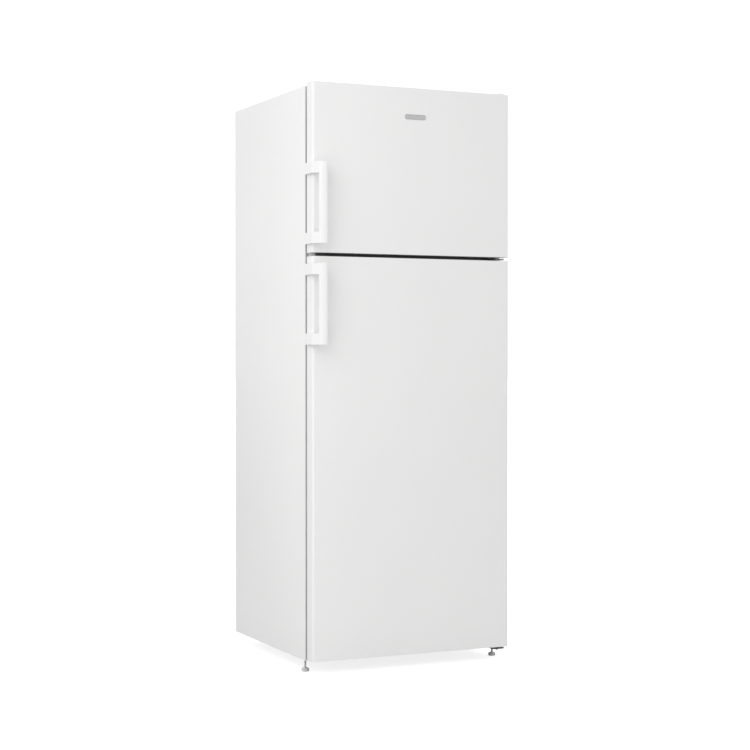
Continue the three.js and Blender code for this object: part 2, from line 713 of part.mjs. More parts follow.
// The plan of what fits inside the skin, which the caps and the foam share.
function insideSkin(back) {
  const x = INNER_FACE - GAP;
  const front = SHEET + GAP;
  const corner = DOOR_CORNER;
  return polygon([
    [-x, back], [-x, front + corner], [-x + corner * 0.3, front + corner * 0.3],
    [-x + corner, front], [x - corner, front], [x - corner * 0.3, front + corner * 0.3],
    [x, front + corner], [x, back],
  ]);
}

const BEHIND_SKIN = DOOR_BACK - SHEET - GAP;

// A moulded end cap, with a socket for a hinge pin.
function doorCap([low, high], socketBelow) {
  const socket = socketBelow ? [low - 5, high - 1.5] : [low + 1.5, high + 5];
  return cut(prismZ(insideSkin(BEHIND_SKIN), [low, high]), bar('z', PIN_AT, HINGE.hole, socket));
}

function frame([halfOuter, zOuter], band, [y0, y1]) {
  const [z0, z1] = zOuter;
  const hole = block(
    [-halfOuter + band, halfOuter - band], [y0 - 5, y1 + 5], [z0 + band, z1 - band]);
  return cut(block([-halfOuter, halfOuter], [y0, y1], zOuter), hole);
}

// The raised rim on the inside of a door, shrunk by an inset on every face.
function dikeRidge({ dike, dikeHalf }, inset, front) {
  const zOuter = [dike[0] + inset, dike[1] - inset];
  return frame([dikeHalf - inset, zOuter], DIKE.thick - inset * 2, [front, DIKE.back - inset]);
}

const LINING_BACK = LINING_FRONT + LINER_WALL;
const LINING_EDGE = 8;                // from the door's outline in to the lining's

// The thermoformed lining: a sheet that laps the skin's folds and the caps, with the hollow rim,
// and lugs that the bins rest on.
function doorLiner(door) {
  const half = HALF_WIDTH - LINING_EDGE;
  const span = [door.bottom + LINING_EDGE, door.top - LINING_EDGE];
  const sheet = block([-half, half], [LINING_FRONT, LINING_BACK], span);
  const inner = door.dikeHalf - DIKE.thick;
  const lugs = BINS.filter((bin) => bin.door === door.name).flatMap((bin) => SIDES.map(([, s]) => {
    const across = [s * (inner - 13), s * (inner + 0.5)].sort((a, b) => a - b);
    return block(across, [LINING_BACK - 0.5, DIKE.back - 10], [bin.z - GAP - 6, bin.z - GAP]);
  }));
  const shell = cut(
    join(sheet, dikeRidge(door, 0, LINING_FRONT)),
    dikeRidge(door, LINER_WALL, LINING_FRONT - 5),
  );
  return join(shell, ...lugs);
}

function doorFoam(door) {
  const span = [door.bottom + CAP_HEIGHT + GAP * 2, door.top - CAP_HEIGHT - GAP * 2];
  const slab = prismZ(insideSkin(BEHIND_SKIN), span);
  return join(slab, dikeRidge(door, LINER_WALL + GAP, BEHIND_SKIN - 5));
}

function doorGasket({ seal }) {
  return frame([GASKET.outer, seal], SEAL_BAND, [GASKET.front, GASKET.back]);
}

// A bracket handle on the door's left side: two arms run forward and curl round the corner,
// and a curved upright grip joins their ends.
function doorHandle(z0) {
  const { out, reach, inward, height, arm, gripStart } = HANDLE;
  const outerX = -HALF_WIDTH - out;
  const centreX = outerX + inward;
  const start = -HALF_WIDTH - GAP;
  const innerA = centreX - start;
  const innerB = reach - out;
  const steps = 8;
  const along = (a, b, from, to) => Array.from({ length: steps + 1 }, (_, i) => {
    const angle = THREE.MathUtils.degToRad(from + ((to - from) * i) / steps);
    return [centreX - a * Math.cos(angle), -b * Math.sin(angle)];
  });
  const tip = [centreX + 2, -reach + out / 2];
  const armPlan = polygon([
    [start, 44.5], [outerX + 1.5, 44.5], [outerX, 43],
    ...along(inward, reach, 0, 90), tip, ...along(innerA, innerB, 90, 0),
  ]);
  const gripPlan = polygon([
    ...along(inward, reach, gripStart, 90), tip, ...along(innerA, innerB, 90, gripStart),
  ]);
  return join(
    prismZ(armPlan, [z0, z0 + arm]),
    prismZ(armPlan, [z0 + height - arm, z0 + height]),
    prismZ(gripPlan, [z0 + arm - 1, z0 + height - arm + 1]),
  );
}

// ---------------------------------------------------------------- door bins

const BIN_FRONT = LINING_BACK + 1;
const FREEZER_BIN = FREEZER_DIKE - DIKE.thick - 3;   // half widths
const FRIDGE_BIN = FRIDGE_DIKE - DIKE.thick - 3;
const BINS = [
  { name: 'freezer_bin_lower', door: 'freezer', half: FREEZER_BIN, z: 1398, height: 92 },
  { name: 'freezer_bin_upper', door: 'freezer', half: FREEZER_BIN, z: 1600, height: 92 },
  { name: 'bottle_bin', door: 'fridge', half: FRIDGE_BIN, z: 166, height: 120 },
  { name: 'middle_bin', door: 'fridge', half: FRIDGE_BIN, z: 560, height: 92 },
  { name: 'dairy_bin', door: 'fridge', half: FRIDGE_BIN, z: 1085, height: 66 },
];
const FLAP = { y: 57, z: 1160, thick: 2, apron: 42 };

// An open trough.
function doorBin({ half, z, height }) {
  const wall = 2.5;
  const outer = block([-half, half], [BIN_FRONT, BIN_BACK], [z, z + height]);
  const inner = block(
    [-half + wall, half - wall], [BIN_FRONT + wall, BIN_BACK - wall],
    [z + wall, z + height + 5]);
  return cut(outer, inner);
}

// A clear lid over the dairy bin, hinged along its edge nearest the door.
function dairyFlap() {
  const { y, z, thick, apron } = FLAP;
  const front = BIN_BACK + 3;
  const outline = polygon([
    [y, z - thick], [front - thick, z - thick], [front - thick, z - apron],
    [front, z - apron], [front, z + thick], [y, z + thick],
  ]);
  const lid = prismX(outline, [-FRIDGE_BIN + 3, FRIDGE_BIN - 3]);
  return join(lid, bar('x', [y, z], 2.5, [-FRIDGE_BIN + 1, FRIDGE_BIN - 1], 12));
}

for (const door of DOORS) {
  const { name, bottom, top } = door;
  add(`${name}_door_skin`, doorSkin(door), PAINT);
  add(`${name}_door_cap_bottom`, doorCap([bottom + 0.5, bottom + CAP_HEIGHT], true), GLOSS_WHITE);
  add(`${name}_door_cap_top`, doorCap([top - CAP_HEIGHT, top - 0.5], false), GLOSS_WHITE);
  add(`${name}_door_foam`, doorFoam(door), FOAM);
  add(`${name}_door_liner`, doorLiner(door), LINING);
  add(`${name}_door_gasket`, doorGasket(door), SEAL_GREY);
  add(`${name}_door_handle`, doorHandle(door.handle), GLOSS_WHITE);
}
for (const bin of BINS) add(bin.name, doorBin(bin), CLEAR_PLASTIC);
add('dairy_flap', dairyFlap(), CLEAR_PLASTIC);

// ---------------------------------------------------------------- origin

fridge.position.set(
  HANDLE.out / 2,
  (HANDLE.reach - CABINET.back) / 2,
  0,
);

export default fridge;
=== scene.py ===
"""Looks for the top freezer refrigerator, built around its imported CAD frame.

Metres, +Z up, in the row frame: +X is the hinge side, -Y the doors' side, Z = 0 the floor.
"""

import json
import math

import bmesh
import bpy
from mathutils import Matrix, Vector


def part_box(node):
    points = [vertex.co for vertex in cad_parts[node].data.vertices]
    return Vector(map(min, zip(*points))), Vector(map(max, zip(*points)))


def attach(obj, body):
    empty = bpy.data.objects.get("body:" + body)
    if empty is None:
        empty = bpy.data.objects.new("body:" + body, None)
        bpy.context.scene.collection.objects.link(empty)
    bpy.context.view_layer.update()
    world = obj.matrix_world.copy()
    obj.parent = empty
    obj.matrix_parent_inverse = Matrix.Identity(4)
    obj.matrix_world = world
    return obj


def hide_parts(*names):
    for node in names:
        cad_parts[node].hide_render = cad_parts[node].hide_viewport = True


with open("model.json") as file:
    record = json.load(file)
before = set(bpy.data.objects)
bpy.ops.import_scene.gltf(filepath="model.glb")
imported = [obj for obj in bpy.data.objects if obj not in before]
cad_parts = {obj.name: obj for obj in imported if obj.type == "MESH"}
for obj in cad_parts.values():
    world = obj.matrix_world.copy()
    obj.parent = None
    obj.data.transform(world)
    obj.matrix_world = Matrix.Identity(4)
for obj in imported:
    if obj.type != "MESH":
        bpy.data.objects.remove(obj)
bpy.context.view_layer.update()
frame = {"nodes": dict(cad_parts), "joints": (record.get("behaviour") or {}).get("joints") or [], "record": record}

MM = 0.001
MERGE = 2e-6                 # metres: mesh points nearer than this are one
CAD_MERGE = 1e-5             # the same for the CAD nodes' doubled corners
CREASE_ANGLE = 38            # degrees: a piece without a bevel stays sharp from here
BEVEL_ANGLE = 30             # degrees: a bevelled one is rounded from here
CAD_EDGE = 0.3               # millimetres: the fine edge of most CAD nodes
SIDES = ("left", "right")
BINS = {
    "freezer": ("freezer_bin_lower", "freezer_bin_upper"),
    "fridge": ("bottle_bin", "middle_bin", "dairy_bin"),
}
JOINTS = {joint["name"]: joint for joint in frame["joints"]}


# ---- camera and light

CAMERA_PLACE = Vector((-2.3908, -5.1941, 1.0029))
CAMERA_YAW = 24.897          # degrees to the right of the doors' normal
CAMERA_DIP = 0.655           # degrees below the horizon
LENS_MM = 81.16
WORLD_LIGHT = 1.02           # strength of the white world as a light
WORLD_SEEN = 1.1             # and as the camera sees it
FLOOR_GLOW = 0.82            # lifts the floor to the backdrop's white for the camera only


def make_camera():
    """The photo's view: almost level, from the front left."""
    data = bpy.data.cameras.new("camera")
    data.lens = LENS_MM
    data.sensor_width = 36
    data.clip_end = 200
    camera = bpy.data.objects.new("camera", data)
    camera.location = CAMERA_PLACE
    camera.rotation_euler = (math.radians(90 - CAMERA_DIP), 0, -math.radians(CAMERA_YAW))
    bpy.context.scene.collection.objects.link(camera)
    bpy.context.scene.camera = camera


def area_light(name, place, aim, size, watts):
    """A square soft box, hidden from the camera."""
    data = bpy.data.lights.new(name, "AREA")
    data.shape = "SQUARE"
    data.size = size
    data.energy = watts
    light = bpy.data.objects.new(name, data)
    light.location = place
    light.rotation_euler = (Vector(aim) - Vector(place)).to_track_quat("-Z", "Y").to_euler()
    light.visible_camera = False
    bpy.context.scene.collection.objects.link(light)


def seen_apart(tree, output, lit, seen):
    """Ends a node tree in one shader for the light it gives and one for what the camera sees."""
    mix, rays = tree.nodes.new("ShaderNodeMixShader"), tree.nodes.new("ShaderNodeLightPath")
    tree.links.new(rays.outputs["Is Camera Ray"], mix.inputs["Fac"])
    for entry, shader in ((1, lit), (2, seen)):
        tree.links.new(shader.outputs[0], mix.inputs[entry])
    tree.links.new(mix.outputs[0], tree.nodes.new(output).inputs["Surface"])


def make_studio():
    """A white world with a high soft box and a low one, both from the front left."""
    scene = bpy.context.scene
    scene.view_settings.view_transform = "Standard"
    scene.world = bpy.data.worlds.new("studio")
    scene.world.use_nodes = True
    tree = scene.world.node_tree
    tree.nodes.clear()
    whites = []
    for strength in (WORLD_LIGHT, WORLD_SEEN):
        white = tree.nodes.new("ShaderNodeBackground")
        white.inputs["Color"].default_value = (1, 1, 1, 1)
        white.inputs["Strength"].default_value = strength
        whites.append(white)
    seen_apart(tree, "ShaderNodeOutputWorld", *whites)
    area_light("key", (-1.80, -1.48, 2.42), (-0.1, -0.1, 1.1), 1.7, 12.5)
    area_light("low_key", (-2.1, -1.9, 0.35), (-0.1, -0.1, 0.35), 1.5, 11.0)


def make_floor():
    """A wide pale floor just under the feet."""
    mesh = bpy.data.meshes.new("floor")
    reach, level = 60, -0.0005
    corners = ((-reach, -reach), (reach, -reach), (reach, reach), (-reach, reach))
    mesh.from_pydata([(x, y, level) for x, y in corners], [], [(0, 1, 2, 3)])
    floor = bpy.data.objects.new("floor", mesh)
    bpy.context.scene.collection.objects.link(floor)
    material = bpy.data.materials.new("pale_floor")
    material.use_nodes = True
    tree = material.node_tree
    tree.nodes.clear()
    kinds = ("BsdfDiffuse", "Emission", "AddShader")
    matt, glow, both = (tree.nodes.new(f"ShaderNode{kind}") for kind in kinds)
    matt.inputs["Color"].default_value = (0.5, 0.5, 0.5, 1)
    glow.inputs["Strength"].default_value = FLOOR_GLOW
    tree.links.new(matt.outputs[0], both.inputs[0])
    tree.links.new(glow.outputs[0], both.inputs[1])
    seen_apart(tree, "ShaderNodeOutputMaterial", matt, both)
    mesh.materials.append(material)


# ---- materials

class Finish:
    """A procedural material: a principled shader fed by noises in the object's own coordinates."""

    def __init__(self, name, color, roughness, metallic=0.0, **sockets):
        self.material = bpy.data.materials.new(name)
        self.material.use_nodes = True
        self.material.diffuse_color = (*color, 1)
        tree = self.material.node_tree
        self.nodes, self.links = tree.nodes, tree.links
        self.shader = self.nodes["Principled BSDF"]
        self.place = self.nodes.new("ShaderNodeTexCoord").outputs["Object"]
        self.height = None
        self.set("Base Color", (*color, 1))
        self.set("Roughness", roughness)
        self.set("Metallic", metallic)
        for socket, value in sockets.items():
            self.set(socket.replace("_", " "), value)

    def set(self, socket, value):
        self.shader.inputs[socket].default_value = value

    def mapped(self, node, scale, stretch=(1, 1, 1)):
        """Feeds a texture the object's coordinates, stretched."""
        mapping = self.nodes.new("ShaderNodeMapping")
        mapping.inputs["Scale"].default_value = stretch
        node.inputs["Scale"].default_value = scale
        self.links.new(self.place, mapping.inputs["Vector"])
        self.links.new(mapping.outputs[0], node.inputs["Vector"])

    def noise(self, scale, detail, stretch=(1, 1, 1)):
        """A soft cloud; scale is in features for each metre."""
        node = self.nodes.new("ShaderNodeTexNoise")
        node.inputs["Detail"].default_value = detail
        self.mapped(node, scale, stretch)
        return node.outputs["Fac"]

    def cells(self, scale):
        """A crystal pattern's outputs: a colour for each cell and the distance in it."""
        node = self.nodes.new("ShaderNodeTexVoronoi")
        self.mapped(node, scale)
        return node.outputs

    def ramp(self, value, stops, socket):
        """Drives a socket by a value through colour stops, each (position, colour or grey)."""
        node = self.nodes.new("ShaderNodeValToRGB")
        ramp = node.color_ramp
        while len(ramp.elements) < len(stops):
            ramp.elements.new(0.5)
        for element, (position, tone) in zip(ramp.elements, stops):
            element.position = position
            element.color = (*tone, 1) if isinstance(tone, tuple) else (tone, tone, tone, 1)
        self.links.new(value, node.inputs["Fac"])
        self.links.new(node.outputs["Color"], self.shader.inputs[socket])

    def bump(self, value, strength, distance):
        """Adds relief; later calls lie on top of the earlier ones."""
        node = self.nodes.new("ShaderNodeBump")
        node.inputs["Strength"].default_value = strength
        node.inputs["Distance"].default_value = distance
        self.links.new(value, node.inputs["Height"])
        if self.height is not None:
            self.links.new(self.height, node.inputs["Normal"])
        self.height = node.outputs["Normal"]
        self.links.new(self.height, self.shader.inputs["Normal"])


def tones(color, spread):
    """Two colours a little darker and lighter than one."""
    dark = tuple(max(0.0, c * (1 - spread)) for c in color)
    light = tuple(min(1.0, c * (1 + spread)) for c in color)
    return dark, light


def coated_white(name, color, roughness, peel):
    """White paint or glossy white plastic: faint clouding, uneven gloss and a fine ripple."""
    finish = Finish(name, color, roughness, Coat_Weight=0.15, Coat_Roughness=0.12)
    dark, light = tones(color, 0.012)
    finish.ramp(finish.noise(2.2, 4), [(0.3, dark), (0.7, light)], "Base Color")
    finish.ramp(finish.noise(38, 4), [(0.3, roughness - 0.03), (0.7, roughness + 0.05)], "Roughness")
    finish.bump(finish.noise(300, 1.5), peel, 0.00005)
    return finish.material


def plated(name, color, roughness, spangle):
    """Zinc-plated or galvanised steel: crystal patches in tone and gloss over fine rolling lines."""
    finish = Finish(name, color, roughness, 0.85)
    dark, light = tones(color, 0.08)
    finish.ramp(finish.cells(spangle)["Color"], [(0.1, dark), (0.9, light)], "Base Color")
    gloss = finish.cells(spangle * 0.8)["Distance"]
    finish.ramp(gloss, [(0.0, roughness - 0.08), (0.8, roughness + 0.12)], "Roughness")
    finish.bump(finish.noise(700, 2, (0.08, 1, 1)), 0.25, 0.00004)
    return finish.material


def drawn_steel(name, color, roughness, stretch):
    """Bare metal with drawing lines along the axis that is stretched least."""
    finish = Finish(name, color, roughness, 1.0)
    lines = finish.noise(900, 3, stretch)
    dark, light = tones(color, 0.1)
    finish.ramp(lines, [(0.3, dark), (0.7, light)], "Base Color")
    finish.ramp(finish.noise(60, 4), [(0.3, roughness - 0.06), (0.7, roughness + 0.1)], "Roughness")
    finish.bump(lines, 0.2, 0.00005)
    return finish.material


def moulded(name, color, roughness, grain, spread=0.12):
    """Matt plastic, rubber or enamel with a fine sparked grain."""
    finish = Finish(name, color, roughness)
    dark, light = tones(color, spread)
    finish.ramp(finish.noise(24, 5), [(0.3, dark), (0.7, light)], "Base Color")
    finish.ramp(finish.noise(80, 3), [(0.3, roughness - 0.06), (0.7, roughness + 0.08)], "Roughness")
    finish.bump(finish.noise(1500, 2), grain, 0.00008)
    return finish.material


def foamed(name, color):
    """Sawn rigid foam: open cells over a rolling surface."""
    finish = Finish(name, color, 0.9)
    dark, light = tones(color, 0.1)
    finish.ramp(finish.noise(30, 6), [(0.3, dark), (0.7, light)], "Base Color")
    finish.bump(finish.cells(420)["Distance"], 0.5, 0.0005)
    finish.bump(finish.noise(90, 4), 0.4, 0.001)
    return finish.material


def clear(name, color, roughness, cover):
    """Glass or clear moulding: a thin veil of its tint under a gloss with faint smears."""
    finish = Finish(name, color, roughness, IOR=1.5)
    low, high = cover
    finish.ramp(finish.noise(9, 4), [(0.3, low), (0.7, high)], "Alpha")
    finish.ramp(finish.noise(14, 5), [(0.35, roughness), (0.7, roughness + 0.05)], "Roughness")
    finish.bump(finish.noise(30, 2), 0.05, 0.0001)
    return finish.material


FINISHES = {
    "white_paint": (coated_white, (0.86, 0.86, 0.857), 0.33, 0.12),
    "white_plastic": (coated_white, (0.85, 0.85, 0.847), 0.32, 0.05),
    "lining_white": (coated_white, (0.78, 0.79, 0.795), 0.36, 0.09),
    "rail_grey": (moulded, (0.13, 0.13, 0.133), 0.5, 0.1, 0.05),
    "zinc_steel": (plated, (0.55, 0.56, 0.57), 0.42, 130),
    "bright_steel": (drawn_steel, (0.62, 0.63, 0.64), 0.35, (1, 0.05, 0.05)),
    "black_steel": (moulded, (0.018, 0.018, 0.02), 0.38, 0.15),
    "charcoal_plastic": (moulded, (0.035, 0.035, 0.037), 0.55, 0.3),
    "evaporator_aluminium": (drawn_steel, (0.7, 0.71, 0.72), 0.36, (1, 1, 0.04)),
    "gasket_grey": (moulded, (0.42, 0.42, 0.42), 0.62, 0.2, 0.05),
    "rigid_foam": (foamed, (0.76, 0.69, 0.52)),
    "grey_plastic": (moulded, (0.62, 0.625, 0.63), 0.5, 0.2, 0.06),
    "satin_badge": (drawn_steel, (0.55, 0.555, 0.56), 0.36, (0.03, 1, 1)),
    # painted shade: the grey of the strips on the front flanges, which darkens the slit behind the doors
    "edging_grey": (moulded, (0.43, 0.43, 0.435), 0.5, 0.1, 0.04),
    "copper_pipe": (drawn_steel, (0.72, 0.36, 0.22), 0.35, (1, 1, 0.05)),
    "shelf_glass": (clear, (0.74, 0.84, 0.81), 0.04, (0.20, 0.24)),
    "clear_plastic": (clear, (0.82, 0.86, 0.88), 0.08, (0.24, 0.29)),
}
MATERIALS = {name: make(name, *values) for name, (make, *values) in FINISHES.items()}
SLOT_OF = {part["node"]: part["material_slot"] for part in frame["record"]["subparts"]}


# ---- mesh helpers
# Shapes are (points, faces) in millimetres in the row frame; a piece's mesh is in metres.
# A plane's name says where an outline's two coordinates go; the level is the third.

def XY(a, b, level):
    return (a, b, level)


def XZ(a, b, level):
    return (a, level, b)


def YZ(a, b, level):
    return (level, a, b)


def span(node):
    """A CAD node's box as three (low, high) pairs, in millimetres."""
    low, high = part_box(node)
    return tuple((low[i] / MM, high[i] / MM) for i in range(3))


def centre(joint):
    """A point on a joint's axis, in millimetres."""
    return [value / MM for value in JOINTS[joint]["pos_m"]]


def grown(pair, by):
    """A span made longer at both ends."""
    return (pair[0] - by, pair[1] + by)


def spaced(pair, count):
    """Even places from one end of a span to the other."""
    return [pair[0] + (pair[1] - pair[0]) * k / (count - 1) for k in range(count)]


def rounded_loop(u, v, radius, steps=6):
    """A rectangle over two spans with rounded corners, as a closed loop of points."""
    radius = max(radius, 0.01)
    corners = ((u[1] - radius, v[0] + radius), (u[1] - radius, v[1] - radius),
               (u[0] + radius, v[1] - radius), (u[0] + radius, v[0] + radius))
    points = []
    for quarter, (a, b) in enumerate(corners):
        for step in range(steps + 1):
            angle = math.radians(-90 + quarter * 90 + 90 * step / steps)
            points.append((a + radius * math.cos(angle), b + radius * math.sin(angle)))
    return points


def loft(rings, closed=True, capped=True):
    """Skins a row of rings that have the same number of points each."""
    count = len(rings[0])
    points = [point for ring in rings for point in ring]
    faces = []
    for r in range(len(rings) - 1):
        for i in range(count if closed else count - 1):
            j = (i + 1) % count
            a, b = r * count, (r + 1) * count
            faces.append((a + i, a + j, b + j, b + i))
    if capped:
        faces.append(tuple(reversed(range(count))))
        faces.append(tuple(range(len(points) - count, len(points))))
    return points, faces


def stack(plane, u, v, stations, steps=6, looped=False):
    """Skins rounded rectangles given as (inset, level, corner radius) from the spans u and v."""
    rings = []
    for inset, level, radius in stations:
        loop = rounded_loop(grown(u, -inset), grown(v, -inset), radius, steps)
        rings.append([plane(a, b, level) for a, b in loop])
    if looped:
        rings.append(rings[0])
    return loft(rings, capped=not looped)


def pillow(plane, u, v, levels, radius, soft):
    """A block with rounded corners in its plane and softened edges at both levels."""
    low, high = levels
    return stack(plane, u, v, [
        (soft, low, max(radius - soft, 0.2)), (soft * 0.3, low + soft * 0.3, radius),
        (0, low + soft, radius), (0, high - soft, radius),
        (soft * 0.3, high - soft * 0.3, radius), (soft, high, max(radius - soft, 0.2)),
    ])


def prism(plane, outline, levels):
    """An outline pushed through from one level to another."""
    return loft([[plane(a, b, level) for a, b in outline] for level in levels])


def lathe(profile, place, axis="z", steps=32):
    """Turns (radius, height) points about an axis through a place."""
    x, y, z = place
    rings = []
    for radius, height in profile:
        ring = []
        for step in range(steps):
            angle = 2 * math.pi * step / steps
            a, b = max(radius, 0.001) * math.cos(angle), max(radius, 0.001) * math.sin(angle)
            if axis == "z":
                ring.append((x + a, y + b, z + height))
            elif axis == "y":
                ring.append((x - a, y + height, z + b))
            else:
                ring.append((x + height, y + a, z + b))
        rings.append(ring)
    return loft(rings)


def open_ended(shape):
    """A lofted shape without its two end faces."""
    points, faces = shape
    return points, faces[:-2]


def eased(path, radius):
    """A path with its corners bent over a radius."""
    steps = 6
    points = [Vector(point) for point in path]
    bent = [points[0]]
    for before, corner, after in zip(points, points[1:], points[2:]):
        start = corner + (before - corner).normalized() * radius
        end = corner + (after - corner).normalized() * radius
        for step in range(steps + 1):
            t = step / steps
            bent.append(start * (1 - t) ** 2 + corner * (2 * t * (1 - t)) + end * t ** 2)
    bent.append(points[-1])
    return bent


def serpentine(x, y, z):
    """A path that runs to and fro along X while it climbs."""
    path = []
    for k, level in enumerate(spaced(z, 7)):
        path += [(x[k % 2], y, level), (x[1 - k % 2], y, level)]
    return path


def tube(path, radius, sides=12):
    """A round tube swept along a path."""
    points = [Vector(point) for point in path]
    rings, normal = [], None
    for i, point in enumerate(points):
        ahead = (points[min(i + 1, len(points) - 1)] - points[max(i - 1, 0)]).normalized()
        normal = ahead.orthogonal() if normal is None else normal - ahead * normal.dot(ahead)
        normal.normalize()
        side = ahead.cross(normal)
        angles = [2 * math.pi * k / sides for k in range(sides)]
        rings.append([point + (normal * math.cos(a) + side * math.sin(a)) * radius for a in angles])
    return loft(rings)


def gather(*shapes):
    """Several shapes as one."""
    points, faces = [], []
    for shape_points, shape_faces in shapes:
        start = len(points)
        points.extend(shape_points)
        faces.extend(tuple(start + i for i in face) for face in shape_faces)
    return points, faces


def piece(name, shape, body, slot, replaces=(), edges=0.0, smooth=True):
    """A mesh piece that rides on a body, takes a slot's finish and may stand for CAD nodes."""
    points, faces = shape
    mesh = bpy.data.meshes.new(name)
    bm = bmesh.new()
    verts = [bm.verts.new(Vector(point) * MM) for point in points]
    for face in faces:
        bm.faces.new([verts[i] for i in face])
    bmesh.ops.remove_doubles(bm, verts=bm.verts, dist=MERGE)
    bmesh.ops.dissolve_degenerate(bm, edges=bm.edges, dist=MERGE)
    bmesh.ops.recalc_face_normals(bm, faces=bm.faces)
    bm.to_mesh(mesh)
    bm.free()
    made = bpy.data.objects.new(name, mesh)
    bpy.context.scene.collection.objects.link(made)
    if smooth:
        mesh.shade_smooth()
    mesh.materials.append(MATERIALS[slot])
    if edges:
        soften(made, edges)
    elif smooth:
        mesh.set_sharp_from_angle(angle=math.radians(CREASE_ANGLE))
    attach(made, body)
    if replaces:
        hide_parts(*replaces)
    return made


def soften(made, width):
    """Rounds the sharp edges and keeps the flat faces flat."""
    bevel = made.modifiers.new("soft_edges", "BEVEL")
    bevel.width = width * MM
    bevel.segments = 2
    bevel.limit_method = "ANGLE"
    bevel.angle_limit = math.radians(BEVEL_ANGLE)
    bevel.harden_normals = True


def thicken(made, thickness):
    """Gives an open skin its wall, on the side away from its normals."""
    wall = made.modifiers.new("wall", "SOLIDIFY")
    wall.thickness = thickness * MM
    wall.offset = -1


# ---- CAD nodes as they are

EDGE_WIDTHS = {                 # millimetres, where they aren't CAD_EDGE
    "air_duct_cover": 0.6, "evaporator_cover": 0.8, "foam_body": 2.0,
    "top_hinge": 0.5, "middle_hinge": 0.6, "bottom_hinge": 0.6, "compressor_plate": 0.5,
}


def finish_cad_nodes():
    """Gives every CAD node its material, smooth round faces and fine soft edges."""
    for name, node in frame["nodes"].items():
        node.data.materials.clear()
        node.data.materials.append(MATERIALS[SLOT_OF[name]])
        weld = node.modifiers.new("weld", "WELD")
        weld.merge_threshold = CAD_MERGE
        node.data.shade_smooth()
        if "custom_normal" in node.data.attributes:
            node.data.attributes.remove(node.data.attributes["custom_normal"])
        soften(node, EDGE_WIDTHS.get(name, CAD_EDGE))


ROW_X = sum(span("freezer_door_skin")[0]) / 2      # the cabinet's middle plane


def rim_spans(door, side_margin, low_margin, high_margin):
    """The raised rim's outer spans, from the seal around it."""
    x, _, z = span(f"{door}_door_gasket")
    return grown(x, -side_margin), (z[0] + low_margin, z[1] - high_margin)


RIMS = {
    "freezer": rim_spans("freezer", side_margin=58, low_margin=34, high_margin=60),
    "fridge": rim_spans("fridge", side_margin=44, low_margin=44, high_margin=40.5),
}


# ---- small fittings

def hex_bolt(name, place, radius):
    """An upright bolt's hexagon head on a round flange."""
    washer = lathe([(0, 0), (radius * 1.3, 0), (radius * 1.3, 0.5), (radius * 1.05, 1.1), (0, 1.1)], place,
                   steps=24)
    head = lathe([(radius, 0.8), (radius, 2.8), (radius * 0.82, 3.4), (0, 3.4)], place, steps=6)
    piece(name, gather(washer, head), "cabinet", "bright_steel", edges=0.25)


ARM_HEIGHT = 35.3
GRIP_WIDTH = 38              # from the arm's outer face to the middle of the grip's end
HANDLE_WALL = 9.7
CURL_DEPTH = 44.5            # the curl's centre lies this far before the handle's rear end
CAP_PROUD = 0.35             # the screw caps stand this far off the arms
CREASE, FLAT_END = 20.5, 56.4    # degrees round the curl: the arm folds into a flat, the flat ends
GRIP_START = 49              # degrees round the curl: nearer the side only the arms are left


def handle_outline(x0, y0, y1):
    """The handle from above: outer and inner edge, from its rear end on the door to the grip's nose."""
    depth, wall = GRIP_WIDTH - CAP_PROUD, HANDLE_WALL - CAP_PROUD
    corner_x, corner_y = x0 + depth, y1 - CURL_DEPTH
    bulge = corner_y - y0

    def curl(angle, half_x, half_y):
        turn = math.radians(angle)
        return corner_x - half_x * math.cos(turn), corner_y - half_y * math.sin(turn)

    outer = [(x0 + 1.2, y1), (x0, y1 - 1.6), (x0, corner_y + 12)]
    inner = [(x0 + wall, y1), (x0 + wall, y1 - 1.6), (x0 + wall, corner_y + 12)]
    angles = sorted({90 * i / 24 for i in range(25)} | {CREASE, FLAT_END})
    grip = len(outer) + sum(angle < GRIP_START for angle in angles)
    fold = Vector((x0, curl(CREASE, depth, bulge)[1]))
    flat_end = Vector(curl(FLAT_END, depth, bulge))
    for angle in angles:
        point = curl(angle, depth, bulge)
        if angle < CREASE:
            point = (x0, point[1])
        elif angle < FLAT_END:
            point = tuple(fold.lerp(flat_end, (angle - CREASE) / (FLAT_END - CREASE)))
        outer.append(point)
        inner.append(curl(angle, depth - wall, bulge - wall))
    nose = wall / 2
    for turn in (20, 40, 58, 74, 84):
        along, across = nose * math.sin(math.radians(turn)), nose * (1 - math.cos(math.radians(turn)))
        outer.append((corner_x + along, y0 + across))
        inner.append((corner_x + along, y0 + wall - across))
    return outer, inner, grip


